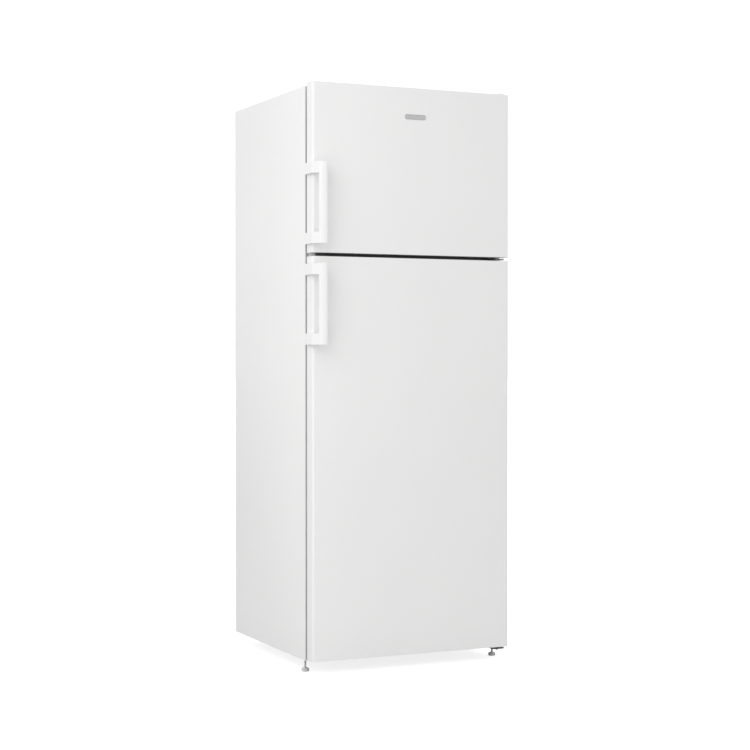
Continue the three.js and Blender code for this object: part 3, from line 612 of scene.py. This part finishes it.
def handle(door):
    """A bracket handle: two arms curl round the door's corner into an upright grip."""
    (x0, _), (y0, y1), (z0, z1) = span(f"{door}_door_handle")
    x0 += CAP_PROUD
    outer, inner, grip = handle_outline(x0, y0, y1)
    levels = [z0, z0 + ARM_HEIGHT, z1 - ARM_HEIGHT, z1]
    points, faces, index = [], [], {}

    def corner(side, i, k):
        key = (side, i, k)
        if key not in index:
            index[key] = len(points)
            points.append((*(outer if side else inner)[i], levels[k]))
        return index[key]

    def filled(i, k):
        return 0 <= i < len(outer) - 1 and 0 <= k < 3 and (k != 1 or i >= grip)

    for i in range(len(outer) - 1):
        for k in range(3):
            if not filled(i, k):
                continue
            here, after = (i, i + 1), (k, k + 1)
            for side, order in ((1, ((0, 0), (1, 0), (1, 1), (0, 1))), (0, ((0, 0), (0, 1), (1, 1), (1, 0)))):
                faces.append([corner(side, here[a], after[b]) for a, b in order])
            for step, at in zip((-1, 1), here):
                if not filled(i + step, k):
                    faces.append([corner(0, at, k), corner(1, at, k), corner(1, at, k + 1),
                                  corner(0, at, k + 1)])
            for step, at in zip((-1, 1), after):
                if not filled(i, k + step):
                    faces.append([corner(0, i, at), corner(1, i, at), corner(1, i + 1, at),
                                  corner(0, i + 1, at)])
    made = piece(f"{door}_handle_form", (points, faces), f"{door}_door", "white_plastic",
                 [f"{door}_door_handle"], edges=1.6)
    made.modifiers["soft_edges"].segments = 4
    for where, z in (("low", z0 + ARM_HEIGHT / 2), ("high", z1 - ARM_HEIGHT / 2)):
        cap = lathe([(0, -CAP_PROUD), (3.4, -CAP_PROUD + 0.05), (4.6, -0.1), (4.9, 0.6), (0, 0.6)],
                    (x0, y1 - CURL_DEPTH + 24, z), "x", 28)
        piece(f"{door}_handle_cap_{where}", cap, f"{door}_door", "white_plastic")


def gasket(door):
    """A magnetic seal: a foot in the lining, a bellows and a flat magnet tube."""
    x, y, z = span(f"{door}_door_gasket")
    low, high = y
    profile = [
        (5, low), (15, low), (15.5, low + 2.2), (12.5, low + 3.4), (15, low + 5.2), (12.5, low + 7),
        (17.5, low + 8), (19.6, low + 9.4), (19.6, high - 0.8), (18.8, high), (1.2, high),
        (0.4, high - 0.8), (0.4, low + 9.6), (2, low + 8.4), (7, low + 7), (4, low + 5.2),
        (7, low + 3.4), (4.5, low + 2.2),
    ]
    stations = [(inset, level, 3) for inset, level in profile]
    piece(f"{door}_seal", stack(XZ, x, z, stations, 3, looped=True), f"{door}_door",
          "gasket_grey", [f"{door}_door_gasket"])


def badge():
    """A plain satin plate with a raised rim, low-relief and unlettered."""
    (x0, x1), (y0, _), (_, z1) = span("freezer_door_skin")
    half_width, height = 37.5, 16
    middle = (x0 + x1) / 2 + 7.5
    top = z1 - 84.5
    shape = stack(XZ, (middle - half_width, middle + half_width), (top - height, top), [
        (0.4, y0, 6), (0, y0 - 0.5, 6), (0.5, y0 - 1.3, 6), (1.1, y0 - 1.5, 6), (1.7, y0 - 1.3, 5),
        (2.1, y0 - 0.9, 5), (5, y0 - 1.0, 2.8),
    ], 8)
    piece("badge_plate", shape, "freezer_door", "satin_badge")


def top_hinge_cover():
    """A lid over the hinge, on a skirt that stands on the roof behind the doors."""
    x, y, z = span("top_hinge_cover")
    door_top = span("freezer_door_skin")[2][1]
    body_y = (y[0] + 64, y[1])
    lid = stack(XY, x, y, [
        (0.3, door_top + 0.9, 9), (0, door_top + 1.3, 9), (0, z[1] - 3, 9), (0.5, z[1] - 1.4, 9),
        (1.5, z[1] - 0.4, 8), (3, z[1], 7),
    ], 8)
    skirt = stack(XY, grown(x, -0.5), grown(body_y, -0.5), [(0, z[0], 8), (0, door_top + 2, 8)], 8)
    piece("hinge_cover_form", gather(lid, skirt), "cabinet", "white_plastic", ["top_hinge_cover"])


def hinge_bushings():
    """Collars on the pin between the doors, one on each side of the hinge's tongue."""
    x, y, _ = centre("fridge_door_hinge")
    below, above = span("fridge_door_skin")[2][1], span("freezer_door_skin")[2][0]
    for name, low, high in (("lower", below + 0.4, below + 3.9), ("upper", above - 4.4, above - 0.4)):
        collar = lathe([(4.2, low), (6.4, low), (6.6, low + 0.3), (6.6, high - 0.3), (6.4, high),
                        (4.2, high)], (x, y, 0))
        piece(f"hinge_bushing_{name}", collar, "cabinet", "white_plastic")


def low_screws(name, places, face, outward, slot, radius, height=1.1):
    """Low round heads with a dimple for the driver, on a face that looks along Y."""
    sunk = 0.2
    profile = [(0, -sunk), (radius, -sunk), (radius, 0.35 * height), (radius * 0.84, height),
               (radius * 0.42, height), (radius * 0.32, 0.3 * height), (0, 0.3 * height)]
    heads = [lathe([(a, outward * b) for a, b in profile], (u, face, v), "y", 24) for u, v in places]
    piece(name, gather(*heads), "cabinet", slot, edges=0.1)


def hinge_screws():
    """Nearly flush screws in the lower hinges' flanges: the doors' corners sweep past them."""
    flange = 1.2
    for node, levels in (("middle_hinge", (1314, 1326)), ("bottom_hinge", (52, 68))):   # above the floor
        x, y, _ = span(node)
        places = [(u, v) for v in levels for u in (x[1] - 33, x[1] - 5.5)]
        low_screws(f"{node}_screws", places, y[1] - flange, -1, "bright_steel", 3, 0.5)


def panel_fittings():
    """Screws in the bay's cover, caps on the evaporator's cover and the ring round its fan opening."""
    x, y, z = span("bay_cover")
    corners = [(u, v) for u in (x[0] + 12, x[1] - 12) for v in (z[0] + 14, z[1] - 14)]
    low_screws("bay_cover_screws", corners, y[1], 1, "bright_steel", 4.2)
    x, y, z = span("evaporator_cover")
    corners = [(u, v) for u in (x[0] + 20, x[1] - 20) for v in (z[0] + 60, z[1] - 20)]
    low_screws("evaporator_cover_caps", corners, y[0], -1, "white_plastic", 6)
    fan_x, _, fan_z = centre("fan_spin")
    ring = lathe([(52.5, 0), (52.8, -1.4), (54, -2), (56.5, -1.8), (58.5, -0.6), (59, 0.2)],
                 (fan_x, y[0], fan_z), "y", 64)
    piece("fan_grille_ring", open_ended(ring), "cabinet", "lining_white")


def seam_shade_strips():
    """Grey strips on the cabinet's front flanges, seen in the slit behind the doors: their grey is painted shade
    that darkens the slit.
    """
    outer, inner = 2.2, 12          # from the cabinet's side
    for side in SIDES:
        x, y, z = span(f"side_panel_{side}")
        strip = (x[0] + outer, x[0] + inner) if side == "left" else (x[1] - inner, x[1] - outer)
        shape = pillow(XZ, strip, (z[0] + 3, z[1] - 3), (y[0] - 0.35, y[0] - 0.02), 1, 0.1)
        piece(f"painted_seam_shade_{side}", shape, "cabinet", "edging_grey")


# ---- what stands on the floor

def thread(radius, depth, pitch, place, height):
    """A threaded rod."""
    x, y, z = place
    sides = 16
    rings = []
    count = int(height / pitch * 6)
    for k in range(count + 1):
        level = height * k / count
        ring = []
        for i in range(sides):
            turn = (level / pitch - i / sides) % 1
            reach = radius - depth * abs(2 * turn - 1)
            angle = 2 * math.pi * i / sides
            ring.append((x + reach * math.cos(angle), y + reach * math.sin(angle), z + level))
        rings.append(ring)
    return loft(rings)


def levelling_foot(side):
    """A disc with a hexagon collar on a threaded stud."""
    x, y, _ = centre(f"foot_{side}_turn")
    name = f"foot_{side}"
    (x0, x1), _, (z0, z1) = span(name)
    disc = (x1 - x0) / 2
    place = (x, y, z0)
    pad = lathe([(0, 0), (disc - 1.4, 0), (disc - 0.3, 0.5), (disc, 1.6), (disc, 8.2), (disc - 0.3, 9.2),
                 (disc - 1.2, 9.8), (disc * 0.6, 10), (disc * 0.58, 9.2), (0, 9.2)], place, steps=40)
    collar = lathe([(disc * 0.52, 9), (disc * 0.52, 11.6), (disc * 0.46, 12), (0, 12)], place, steps=6)
    piece(f"{name}_pad", gather(pad, collar), name, "grey_plastic", [name], edges=0.3)
    stud = thread(3.4, 0.4, 1.5, (x, y, z0 + 11), z1 - z0 - 11.5)
    piece(f"{name}_stud", stud, name, "bright_steel")


def roller(side):
    """A moulded wheel: tyre, web with six spokes and a hub that runs on the axle."""
    name = f"roller_{side}"
    (x0, x1), y, z = span(name)
    radius = (z[1] - z[0]) / 2
    half = (x1 - x0) / 2
    profile = [
        (4.6, -half + 2), (7, -half + 1), (8.5, -half + 1), (9, -half + 3.5), (14, -half + 3.5),
        (15, -half + 0.8), (16, -half), (radius - 1.6, -half), (radius, -half + 1.8),
        (radius, half - 1.8), (radius - 1.6, half), (16, half), (15, half - 0.8), (14, half - 3.5),
        (9, half - 3.5), (8.5, half - 1), (7, half - 1), (4.6, half - 2), (4.6, -half + 2),
    ]
    place = ((x0 + x1) / 2, (y[0] + y[1]) / 2, (z[0] + z[1]) / 2)
    wheel = open_ended(lathe(profile, place, "x", 40))
    spokes = []
    for k in range(6):
        angle = math.radians(60 * k)
        direction = Vector((0, math.cos(angle), math.sin(angle)))
        start, end = Vector(place) + direction * 8, Vector(place) + direction * 15
        spokes.append(tube([start, end], 1.8, 8))
    piece(f"{name}_wheel", gather(wheel, *spokes), name, "charcoal_plastic", [name])


# ---- linings

def cabinet_lining(room, half, top, floor_profile):
    """A thermoformed room: a flange, a rolled mouth, drafted walls and a rounded back.

    The floor's profile gives (depth behind the mouth, height of the floor there)."""
    x, y, z = span(f"{room}_liner")
    u = (ROW_X - half, ROW_X + half)
    v = (floor_profile[0][1], top)
    face = y[0]
    rings = [(x, z, face, 2)]
    rings += [(grown(u, by), grown(v, by), face + depth, radius)
              for by, depth, radius in ((5, 0, 15), (1.6, 1, 12.5), (0.4, 3, 11.5))]
    rings += [(u, (bottom, top), face + depth, 11) for depth, bottom in floor_profile]
    back = y[1] - 1.5
    back_v = (floor_profile[-1][1], top)
    rings += [(grown(u, -inset), grown(back_v, -inset), back - before, 11)
              for inset, before in ((1, 16), (3.5, 7), (8, 2.5), (14, 0))]
    loops = [[XZ(a, b, level) for a, b in rounded_loop(*spans, radius)] for *spans, level, radius in rings]
    points, faces = loft(loops)
    piece(f"{room}_room_lining", (points, faces[:-2] + faces[-1:]), "cabinet", "lining_white",
          [f"{room}_liner"])


def wall_ribs(name, half, shelf, front, back):
    """Shelf runners on both side walls: drafted, with soft ends."""
    shapes = []
    for sign in (-1, 1):
        levels = [(0, sign * (half + 0.4)), (0.4, sign * (half - 6)), (1.2, sign * (half - 7.4)),
                  (2.6, sign * (half - 8))]
        stations = [(inset, ROW_X + level, 1.5) for inset, level in levels]
        shapes.append(stack(YZ, (front, back), (shelf - 9, shelf - 0.35), stations, 5))
    piece(name, gather(*shapes), "cabinet", "lining_white")


RIM_PROFILE = (             # the raised rim of a door's lining: (inset, rise, corner radius)
    (-5, 0, 26), (-1.5, 1, 24), (0, 4, 22), (1.5, 30, 21), (3, 41, 20), (5, 45.5, 18), (8.5, 47.7, 15),
    (15, 47.7, 11), (18.5, 46.5, 9), (20.5, 43, 8), (22, 34, 8), (24, 6, 9), (25.5, 2, 9), (29, 0.2, 10),
    (34, 0, 10),
)


def door_lining(door, bins):
    """A thermoformed door lining: a flat border for the seal and a raised, rounded rim."""
    x, y, z = span(f"{door}_door_liner")
    low, high = y
    sheet = low + 1.5
    rim_u, rim_v = RIMS[door]

    def ring(u, v, level, radius):
        return [XZ(a, b, level) for a, b in rounded_loop(u, v, radius)]

    loops = [ring(x, z, low, 8), ring(x, z, sheet - 0.4, 8)]
    loops.append(ring(grown(x, -0.8), grown(z, -0.8), sheet, 8))
    core = []
    for inset, rise, radius in RIM_PROFILE:
        loops.append(ring(grown(rim_u, -inset), grown(rim_v, -inset), sheet + rise, radius))
        if rise > 3:
            shrink = inset + (2 if inset < 12 else -2)
            core.append(ring(grown(rim_u, -shrink), grown(rim_v, -shrink), sheet + rise - 2.5, radius))
    points, faces = loft(loops)
    lugs = []
    left, right = grown(rim_u, -24)      # the rim's inner walls
    for name in bins:
        bin_low = span(name)[2][0]
        for u in ((left - 1, left + 13), (right - 13, right + 1)):
            lugs.append(pillow(XY, u, (sheet - 0.5, high - 11), (bin_low - 6.3, bin_low - 0.35), 3, 1))
    piece(f"{door}_door_lining", gather((points, faces[:-2] + faces[-1:]), *lugs), f"{door}_door",
          "lining_white", [f"{door}_door_liner"])
    door_filling(door, low - 1.2, core)


def door_filling(door, back, core):
    """The foam between skin and lining: a slab up to the back level, and the raised rim's core on it."""
    x, y, z = span(f"{door}_door_foam")
    inner, outer = ([(a, back - 3, b) for a, _, b in ring] for ring in (core[0], core[-1]))
    corner = 6
    plan = [(x[0], back), (x[0], y[0] + corner), (x[0] + corner, y[0]),
            (x[1] - corner, y[0]), (x[1], y[0] + corner), (x[1], back)]
    foam = gather(prism(XY, plan, z), loft([inner, *core, outer], capped=False))
    piece(f"{door}_door_filling", foam, f"{door}_door", "rigid_foam", [f"{door}_door_foam"])


# ---- bins, drawers and shelves

def door_bin(name, body, collar):
    """A drafted open box with a rolled rim and, where collar is its height, a white band round the top."""
    x, y, z = span(name)
    wall, floor, draft, radius = 2.4, 2.4, 3, 12
    skin, gap = (1.6, 1) if collar else (0, 0)
    rim, waist = z[1] - gap, z[1] - 30
    box = stack(XY, grown(x, -skin), grown(y, -skin), [
        (draft + 5, z[0], radius), (draft + 1.5, z[0] + 1.2, radius), (draft, z[0] + 5, radius),
        (draft * 0.4, waist, radius + 1), (0.9, rim - 5.5, radius + 1), (0, rim - 4.5, radius + 2),
        (0, rim - 1, radius + 2), (0.7, rim, radius + 1.5), (wall, rim, radius),
        (wall + 0.6, rim - 1, radius - 1), (wall + draft * 0.4, waist, radius - 1),
        (wall + draft, z[0] + floor + 5, radius - 2), (wall + draft + 1.5, z[0] + floor + 1.5, radius - 2),
        (wall + draft + 6, z[0] + floor, radius - 3),
    ], 7)
    piece(f"{name}_form", box, body, "clear_plastic", [name])
    if collar:
        low = z[1] - collar
        band = stack(XY, x, y, [
            (0.3, low, radius + 2), (0, low + 0.8, radius + 2), (0, z[1] - 1.2, radius + 2),
            (0.8, z[1], radius + 1.5), (2.6, z[1], radius), (3, z[1] - 0.7, radius - 0.5),
            (3, rim, radius - 0.5), (1.5, rim, radius + 1), (1.5, low, radius + 1),
        ], 7, looped=True)
        piece(f"{name}_collar", band, body, "white_plastic")


def crisper(side):
    """A clear drawer with a rolled rim, a white pull along the front and three ribs under it."""
    name = f"crisper_{side}"
    x, (y0, y1), (z0, z1) = span(name)
    front = y0 + 10
    wall = 2.5
    box = stack(XY, x, (front, y1), [
        (7, z0, 14), (2.5, z0 + 1.6, 14), (1.2, z0 + 6, 14), (0.4, z1 - 14, 14), (0, z1 - 9, 15),
        (0, z1 - 1.2, 15), (0.8, z1, 14), (wall, z1, 13), (wall + 0.6, z1 - 1, 12),
        (wall + 0.6, z1 - 14, 12), (wall + 1.5, z0 + 8, 12), (wall + 3, z0 + 4, 12),
        (wall + 8, z0 + 2.6, 10),
    ], 8)
    piece(f"{name}_form", box, name, "clear_plastic", [name])
    lip = [(1, 36), (-6, 33), (-9.2, 29), (-10, 24), (-9.4, 22.4), (-8, 22), (-6.6, 23), (-5.2, 27),
           (-1, 29), (1, 29)]           # from the front face, below the rim
    grip = prism(YZ, [(front + a, z1 - b) for a, b in lip], grown(x, -40))
    piece(f"{name}_pull", grip, name, "white_plastic", edges=0.6)
    rib, pitch = 12, 34
    levels = [z0 + 42 + k * pitch for k in range(3)]
    ribs = [pillow(XZ, grown(x, -30), (level, level + rib), (front - 1.2, front + 1.6), 5.5, 1.1)
            for level in levels]
    piece(f"{name}_ribs", gather(*ribs), name, "clear_plastic")


def shelf_trim(node):
    """White edgings clipped on a glass shelf: a rounded front rail and a rear stop."""
    x, y, (low, high) = span(node)
    front, back = y
    rail = [(front - 5, low - 4), (front - 6.5, low - 1), (front - 6.8, high + 0.6),
            (front - 5.5, high + 2.4), (front - 2, high + 2.8), (front + 7, high + 1.6),
            (front + 7.4, high + 0.15), (front + 0.2, high + 0.15), (front - 0.15, low - 0.15),
            (front + 7, low - 0.15), (front + 6.6, low - 2.2)]
    stop = [(back - 7, high + 0.15), (back - 6.6, high + 1.4), (back - 3, high + 2), (back - 1, high + 9),
            (back + 0.6, high + 9), (back + 1, high + 1), (back + 0.9, low - 1.4), (back - 6, low - 1.4),
            (back - 6, low - 0.15), (back + 0.15, low - 0.15), (back + 0.15, high + 0.15)]
    for name, outline, end, edges in (("front_rail", rail, 0.6, 0.5), ("rear_stop", stop, 14, 0.3)):
        piece(f"{node}_{name}", prism(YZ, outline, grown(x, -end)), "cabinet", "white_plastic", edges=edges)


def dairy_flap():
    """A clear lid with a rolled hinge edge, a turned-down front and a grip bead."""
    x, y, z = span("dairy_flap")
    _, pivot_y, pivot_z = centre("dairy_flap_hinge")
    top = pivot_z + 2
    front = y[1]
    outline = [(pivot_y, top), (front - 5, top), (front - 2, top - 0.9), (front - 0.5, top - 3),
               (front, top - 6), (front, z[0] + 2), (front - 0.5, z[0] + 0.5), (front - 1.6, z[0]),
               (front - 3, z[0] + 0.6), (front - 3.2, z[0] + 2), (front - 2.2, z[0] + 3.4),
               (front - 2.2, top - 7), (front - 3.4, top - 4), (front - 6, top - 2.4), (pivot_y, top - 2.4)]
    lid = prism(YZ, outline, (x[0] + 2, x[1] - 2))
    barrel = lathe([(2.3, 0), (2.5, 0.4), (2.5, x[1] - x[0] - 0.4), (2.3, x[1] - x[0])],
                   (x[0], pivot_y, pivot_z), "x", 20)
    piece("dairy_flap_form", gather(lid, barrel), "dairy_flap", "clear_plastic", ["dairy_flap"])


# ---- controls in the fridge room

def control_box():
    """A moulded housing under the fridge room's ceiling: drafted, chamfered in front, all corners soft."""
    x, y, z = span("control_box")
    rings = []
    stations = ((7, 16, 0, 9), (4.5, 12, 0.4, 11), (2.6, 8, 1.8, 13), (1.2, 3.5, 5, 14), (0.9, 1.2, 9, 15),
                (0.4, 0.5, 22, 15), (0, 0, z[1] - z[0], 15))
    for side, front, rise, radius in stations:
        loop = rounded_loop(grown(x, -side), (y[0] + front, y[1] - side), radius, 8)
        rings.append([XY(a, b, z[0] + rise) for a, b in loop])
    piece("control_box_form", loft(rings), "cabinet", "lining_white", ["control_box"])


def thermostat_knob():
    """A fluted dial with a pointer, under a scale of dots on the control box."""
    x, y, _ = centre("thermostat_turn")
    (x0, x1), _, (z0, z1) = span("thermostat_knob")
    radius = (x1 - x0) / 2
    low = z0 + 4
    flute = 0.7
    stations = ((radius * 0.45, 0, 0), (radius * 0.2, 0.2, 0), (1.6, 0.8, flute), (0.6, 2.2, flute),
                (0, 9, flute), (0, 12, flute), (1.2, 14.2, flute))
    rings = []
    for inset, rise, groove in stations:
        ring = []
        for step in range(120):
            angle = math.radians(3 * step)
            reach = radius - inset - groove * max(0.0, math.cos(angle * 20))
            ring.append((x + reach * math.cos(angle), y + reach * math.sin(angle), low + rise))
        rings.append(ring)
    shaft = lathe([(3, low + 13), (3, z1)], (x, y, 0), steps=16)
    grip = pillow(XY, (x - 3.4, x + 3.4), (y - radius + 1.6, y + radius - 1.6), (z0, low + 1), 3.2, 0.9)
    mark = pillow(XY, (x - 0.7, x + 0.7), (y - radius + 3, y - radius + 9), (z0 - 0.05, z0 + 0.6),
                  0.6, 0.05)
    piece("thermostat_knob_form", gather(loft(rings), shaft, grip), "thermostat", "white_plastic",
          ["thermostat_knob"])
    piece("thermostat_mark", mark, "thermostat", "rail_grey")
    face = span("control_box")[2][0]
    scale = radius + 6
    dots = []
    for k in range(9):
        angle = math.radians(-90 + (k - 4) * 30)
        size = 0.9 + 0.18 * k
        place = (x + scale * math.cos(angle), y + scale * math.sin(angle), face)
        dots.append(lathe([(0, -0.25), (size, -0.2), (size, 0.1), (0, 0.1)], place, steps=20))
    piece("thermostat_scale", gather(*dots), "cabinet", "rail_grey")


def door_switch():
    """A round-nosed plunger that comes out through a ring on the control box."""
    (x0, x1), (y0, y1), (z0, z1) = span("door_switch_button")
    radius = (x1 - x0) / 2
    place = ((x0 + x1) / 2, y0, (z0 + z1) / 2)
    length = y1 - y0
    plunger = lathe([(0, 0), (radius * 0.5, 0.2), (radius * 0.85, 1.0), (radius, 2.4), (radius, length),
                     (0, length)], place, "y", 24)
    piece("door_switch_plunger", plunger, "door_switch", "white_plastic", ["door_switch_button"])
    front = span("control_box")[1][0]
    ring = lathe([(radius + 0.5, 0), (radius + 0.8, -1.4), (radius + 2.6, -1.4), (radius + 3.4, -0.6),
                  (radius + 3.6, 0.2), (radius + 0.5, 0)], (place[0], front, place[2]), "y", 28)
    piece("door_switch_ring", open_ended(ring), "cabinet", "white_plastic")


def lamp_cover():
    """A clear shade with ridges across it."""
    x, y, z = span("lamp_cover")
    shade = stack(XY, x, y, [
        (5, z[0], 6), (2, z[0] + 0.8, 7), (0.7, z[0] + 3, 7), (0.2, z[1] - 5, 7), (0, z[1], 7),
        (1.6, z[1], 6), (2.2, z[0] + 4, 5), (5, z[0] + 1.8, 4),
    ], 6)
    level = z[0] + 0.4
    ridges = [tube([(x[0] + 8, at, level), (x[1] - 8, at, level)], 1.3, 8) for at in spaced(grown(y, -10), 9)]
    piece("lamp_shade", gather(shade, *ridges), "cabinet", "clear_plastic", ["lamp_cover"])


# ---- freezer machinery

def fan():
    """A hub with five swept, twisted blades."""
    x, y, z = centre("fan_spin")
    x0, x1 = span("fan_rotor")[0]
    reach = (x1 - x0) / 2
    bore, root = 3.4, 12
    hub = lathe([(bore, -7), (12, -8), (14, -6), (14, 5), (12.5, 7.2), (9, 8), (bore, 8), (bore, -7)],
                (x, y, z), "y", 32)
    count, steps = 5, 8
    blades = []
    for k in range(count):
        rings = []
        for i in range(steps + 1):
            out = i / steps
            radius = root + (reach - root) * out
            lead = math.radians(360 / count * k + 26 * out)
            chord = math.radians(34 + 8 * out)
            ring = []
            for j in range(steps + 1):
                across = j / steps
                turn = lead + chord * (across - 0.5)
                rise = (0.5 - across) * (13 - 5 * out) + 1.2 * math.sin(math.pi * across)
                ring.append((x + radius * math.cos(turn), y + rise, z + radius * math.sin(turn)))
            rings.append(ring)
        blades.append(loft(rings, closed=False, capped=False))
    made = piece("fan_blades", gather(*blades), "fan", "charcoal_plastic")
    thicken(made, 1.4)
    piece("fan_hub", open_ended(hub), "fan", "charcoal_plastic", ["fan_rotor"])


def fin_coil():
    """A serpentine tube through a pack of thin fins."""
    x, y, z = span("evaporator")
    coil = eased(serpentine(grown(x, 6), sum(y) / 2, grown(z, -14)), 9)
    piece("evaporator_tube", tube(coil, 4), "cabinet", "evaporator_aluminium", ["evaporator"])
    fins = [stack(YZ, y, z, [(0, at, 1.5), (0, at + 0.5, 1.5)], 2) for at in spaced(grown(x, -6), 66)]
    piece("evaporator_fins", gather(*fins), "cabinet", "evaporator_aluminium", smooth=False)


def heater():
    """A sheathed element: along under the coil, with both ends turned up."""
    x, y, z = span("defrost_heater")
    left, right = grown(x, -4.5)
    middle, low = sum(y) / 2, z[0] + 4.5
    path = [(left, middle, z[1]), (left, middle, low), (right, middle, low), (right, middle, z[1])]
    piece("heater_tube", tube(eased(path, 9), 4.4, 14), "cabinet", "bright_steel", ["defrost_heater"])


# ---- compressor bay and back

def compressor():
    """A pressed steel can with a welded seam, on a bracket with rubber grommets, and its pipes."""
    (x0, x1), (y0, y1), (z0, _) = span("compressor")
    x = (x0 + x1) / 2
    y = y1 - 82                 # the can's widest radius
    base = z0 + 8
    can = lathe([(0, 0), (58, 0), (68, 3), (74.5, 9), (77.5, 18), (78, 30), (78, 61), (79, 62.5),
                 (81.6, 64), (82, 66), (82, 71), (81.4, 73), (79, 74.2), (77.8, 76), (77, 98), (75, 114),
                 (70, 129), (61, 140), (48, 147.5), (30, 152), (12, 153.8), (0, 154)],
                (x, y, base), steps=64)
    piece("compressor_can", can, "cabinet", "black_steel", ["compressor"])
    foot = pillow(XY, (x0, x1), (y - 60, y + 60), (z0 + 6.5, z0 + 9.5), 18, 0.8)
    piece("compressor_foot", foot, "cabinet", "black_steel")
    for letter_x, dx in (("l", -84), ("r", 84)):
        for letter_y, dy in (("f", -46), ("b", 46)):
            name = f"compressor_grommet_{letter_x}{letter_y}"
            rubber = lathe([(4, 0), (11, 0), (12, 1.5), (11.6, 4), (9, 5.2), (9, 10.4), (11, 11.4),
                            (11, 13.6), (9.6, 14.6), (4, 14.8)], (x + dx, y + dy, z0), steps=28)
            piece(name, rubber, "cabinet", "charcoal_plastic")
            hex_bolt(f"{name}_bolt", (x + dx, y + dy, z0 + 14.6), 4.5)
    for name, dx, height, radius in (("suction", -30, 120, 4), ("outlet", 30, 100, 3)):
        front, level = y0 + 1.5 + radius, z0 + height
        path = [(x + dx, y, level), (x + dx, front, level), (x + dx * 1.8, front, level - 50),
                (x + dx * 2.4, y0 + 4 + radius, level - 50)]
        piece(f"compressor_pipe_{name}", tube(eased(path, 12), radius), "cabinet", "copper_pipe")
    relay = pillow(YZ, (y - 26, y + 26), (base + 34, base + 92), (x1 - 27, x1 - 1), 6, 2)
    piece("compressor_relay_cover", relay, "cabinet", "charcoal_plastic")


def condenser():
    """A serpentine of steel tube with pairs of wires welded across it."""
    x, y, z = span("condenser_coil")
    middle = sum(y) / 2
    coil = eased(serpentine(grown(x, -3), middle, grown(z, -4)), 13)
    piece("condenser_tube", tube(coil, 2.7), "cabinet", "black_steel", ["condenser_coil"])
    wires = [tube([(at, middle + side, level) for level in z], 0.8, 6)
             for at in spaced(grown(x, -20), 34) for side in (-3.5, 3.5)]
    piece("condenser_wires", gather(*wires), "cabinet", "black_steel")


def drip_tray():
    """A deep tray with a rolled edge."""
    x, y, z = span("drip_tray")
    tray = stack(XY, x, y, [
        (9, z[0], 10), (5, z[0] + 1.5, 11), (3.6, z[0] + 5, 12), (2.2, z[1] - 4, 12), (0, z[1] - 3, 14),
        (0, z[1] - 0.5, 14), (0.4, z[1], 14), (3.4, z[1], 11), (4.4, z[1] - 1, 10), (6, z[0] + 7, 9),
        (8, z[0] + 3.4, 8), (12, z[0] + 2.4, 7),
    ], 7)
    piece("drip_tray_form", tray, "cabinet", "charcoal_plastic", ["drip_tray"])


def back_panel():
    """The rear sheet with four pressed beads across it."""
    x, y, z = span("rear_panel")
    beads = spaced(z, 6)[1:-1]
    deep, bead_half, margin, run_out = 0.7, 11, 60, 14

    def depth(u, v):
        near = min(abs(v - bead) for bead in beads)
        inside = min(u - x[0], x[1] - u) - margin
        fade = max(0.0, min(1.0, inside / run_out))
        return deep * fade * max(0.0, math.cos(min(near / bead_half, 1) * math.pi / 2))

    rows = sorted({*spaced(z, 25), *(bead + offset for bead in beads for offset in range(-12, 13, 2))})
    ends = [side for offset in range(margin - 2, margin + 20, 4) for side in grown(x, -offset)]
    columns = sorted({*spaced(x, 13), *ends})
    wide, tall = len(columns), len(rows)
    sheet = wide * tall         # points in each face of the sheet
    points = [(u, layer - depth(u, v), v) for layer in reversed(y) for v in rows for u in columns]
    faces = []
    for j in range(tall - 1):
        for i in range(wide - 1):
            a = j * wide + i
            faces.append((a, a + 1, a + wide + 1, a + wide))
            faces.append((sheet + a, sheet + a + wide, sheet + a + wide + 1, sheet + a + 1))
    border = [*range(wide), *(j * wide + wide - 1 for j in range(1, tall)),
              *range(sheet - 2, sheet - wide - 1, -1), *(j * wide for j in range(tall - 2, 0, -1))]
    for a, b in zip(border, border[1:] + border[:1]):
        faces.append((a, sheet + a, sheet + b, b))
    piece("rear_sheet", (points, faces), "cabinet", "zinc_steel", ["rear_panel"])


# ---- build

def rooms():
    """Both rooms' linings, with the shelves' runners and edgings."""
    freezer_half, fridge_half = ((right - left) / 2 + 0.5 for left, right in
                                 (span("freezer_shelf")[0], span("glass_shelf_upper")[0]))
    floor, top = grown(span("evaporator_cover")[2], 1)
    cabinet_lining("freezer", freezer_half, top, [(6, floor), (560, floor)])
    floor = span("crisper_left")[2][0] - 0.3
    step = span("crisper_cover")[2][0] - 4      # the floor's rise over the compressor bay
    cabinet_lining("fridge", fridge_half, span("control_box")[2][1] + 0.3, [
        (6, floor), (338, floor), (343, floor + 1.5), (346.5, floor + 6), (347.2, floor + 14),
        (347.2, step - 10), (348.5, step - 4), (352, step - 1), (358, step), (560, step),
    ])
    shelves = [("freezer_shelf", freezer_half)]
    shelves += [(f"glass_shelf_{which}", fridge_half) for which in ("lower", "middle", "upper")]
    for node, half in shelves:
        _, (front, back), (low, _) = span(node)
        wall_ribs(f"{node}_runners", half, low, front + 8, back - 12)
        shelf_trim(node)
    shelf_trim("crisper_cover")


make_camera()
make_studio()
make_floor()
finish_cad_nodes()

for door in ("freezer", "fridge"):
    handle(door)
    gasket(door)
badge()
top_hinge_cover()
hinge_screws()
hinge_bushings()
panel_fittings()
seam_shade_strips()
for side in SIDES:
    levelling_foot(side)
    roller(side)
    crisper(side)

rooms()
for door, bins in BINS.items():
    door_lining(door, bins)
    for name in bins:
        if name == "dairy_bin":
            door_bin(name, f"{door}_door", collar=0)
        else:
            door_bin(name, name, collar=22)
dairy_flap()
control_box()
thermostat_knob()
door_switch()
lamp_cover()
fan()
fin_coil()
heater()
compressor()
condenser()
drip_tray()
back_panel()
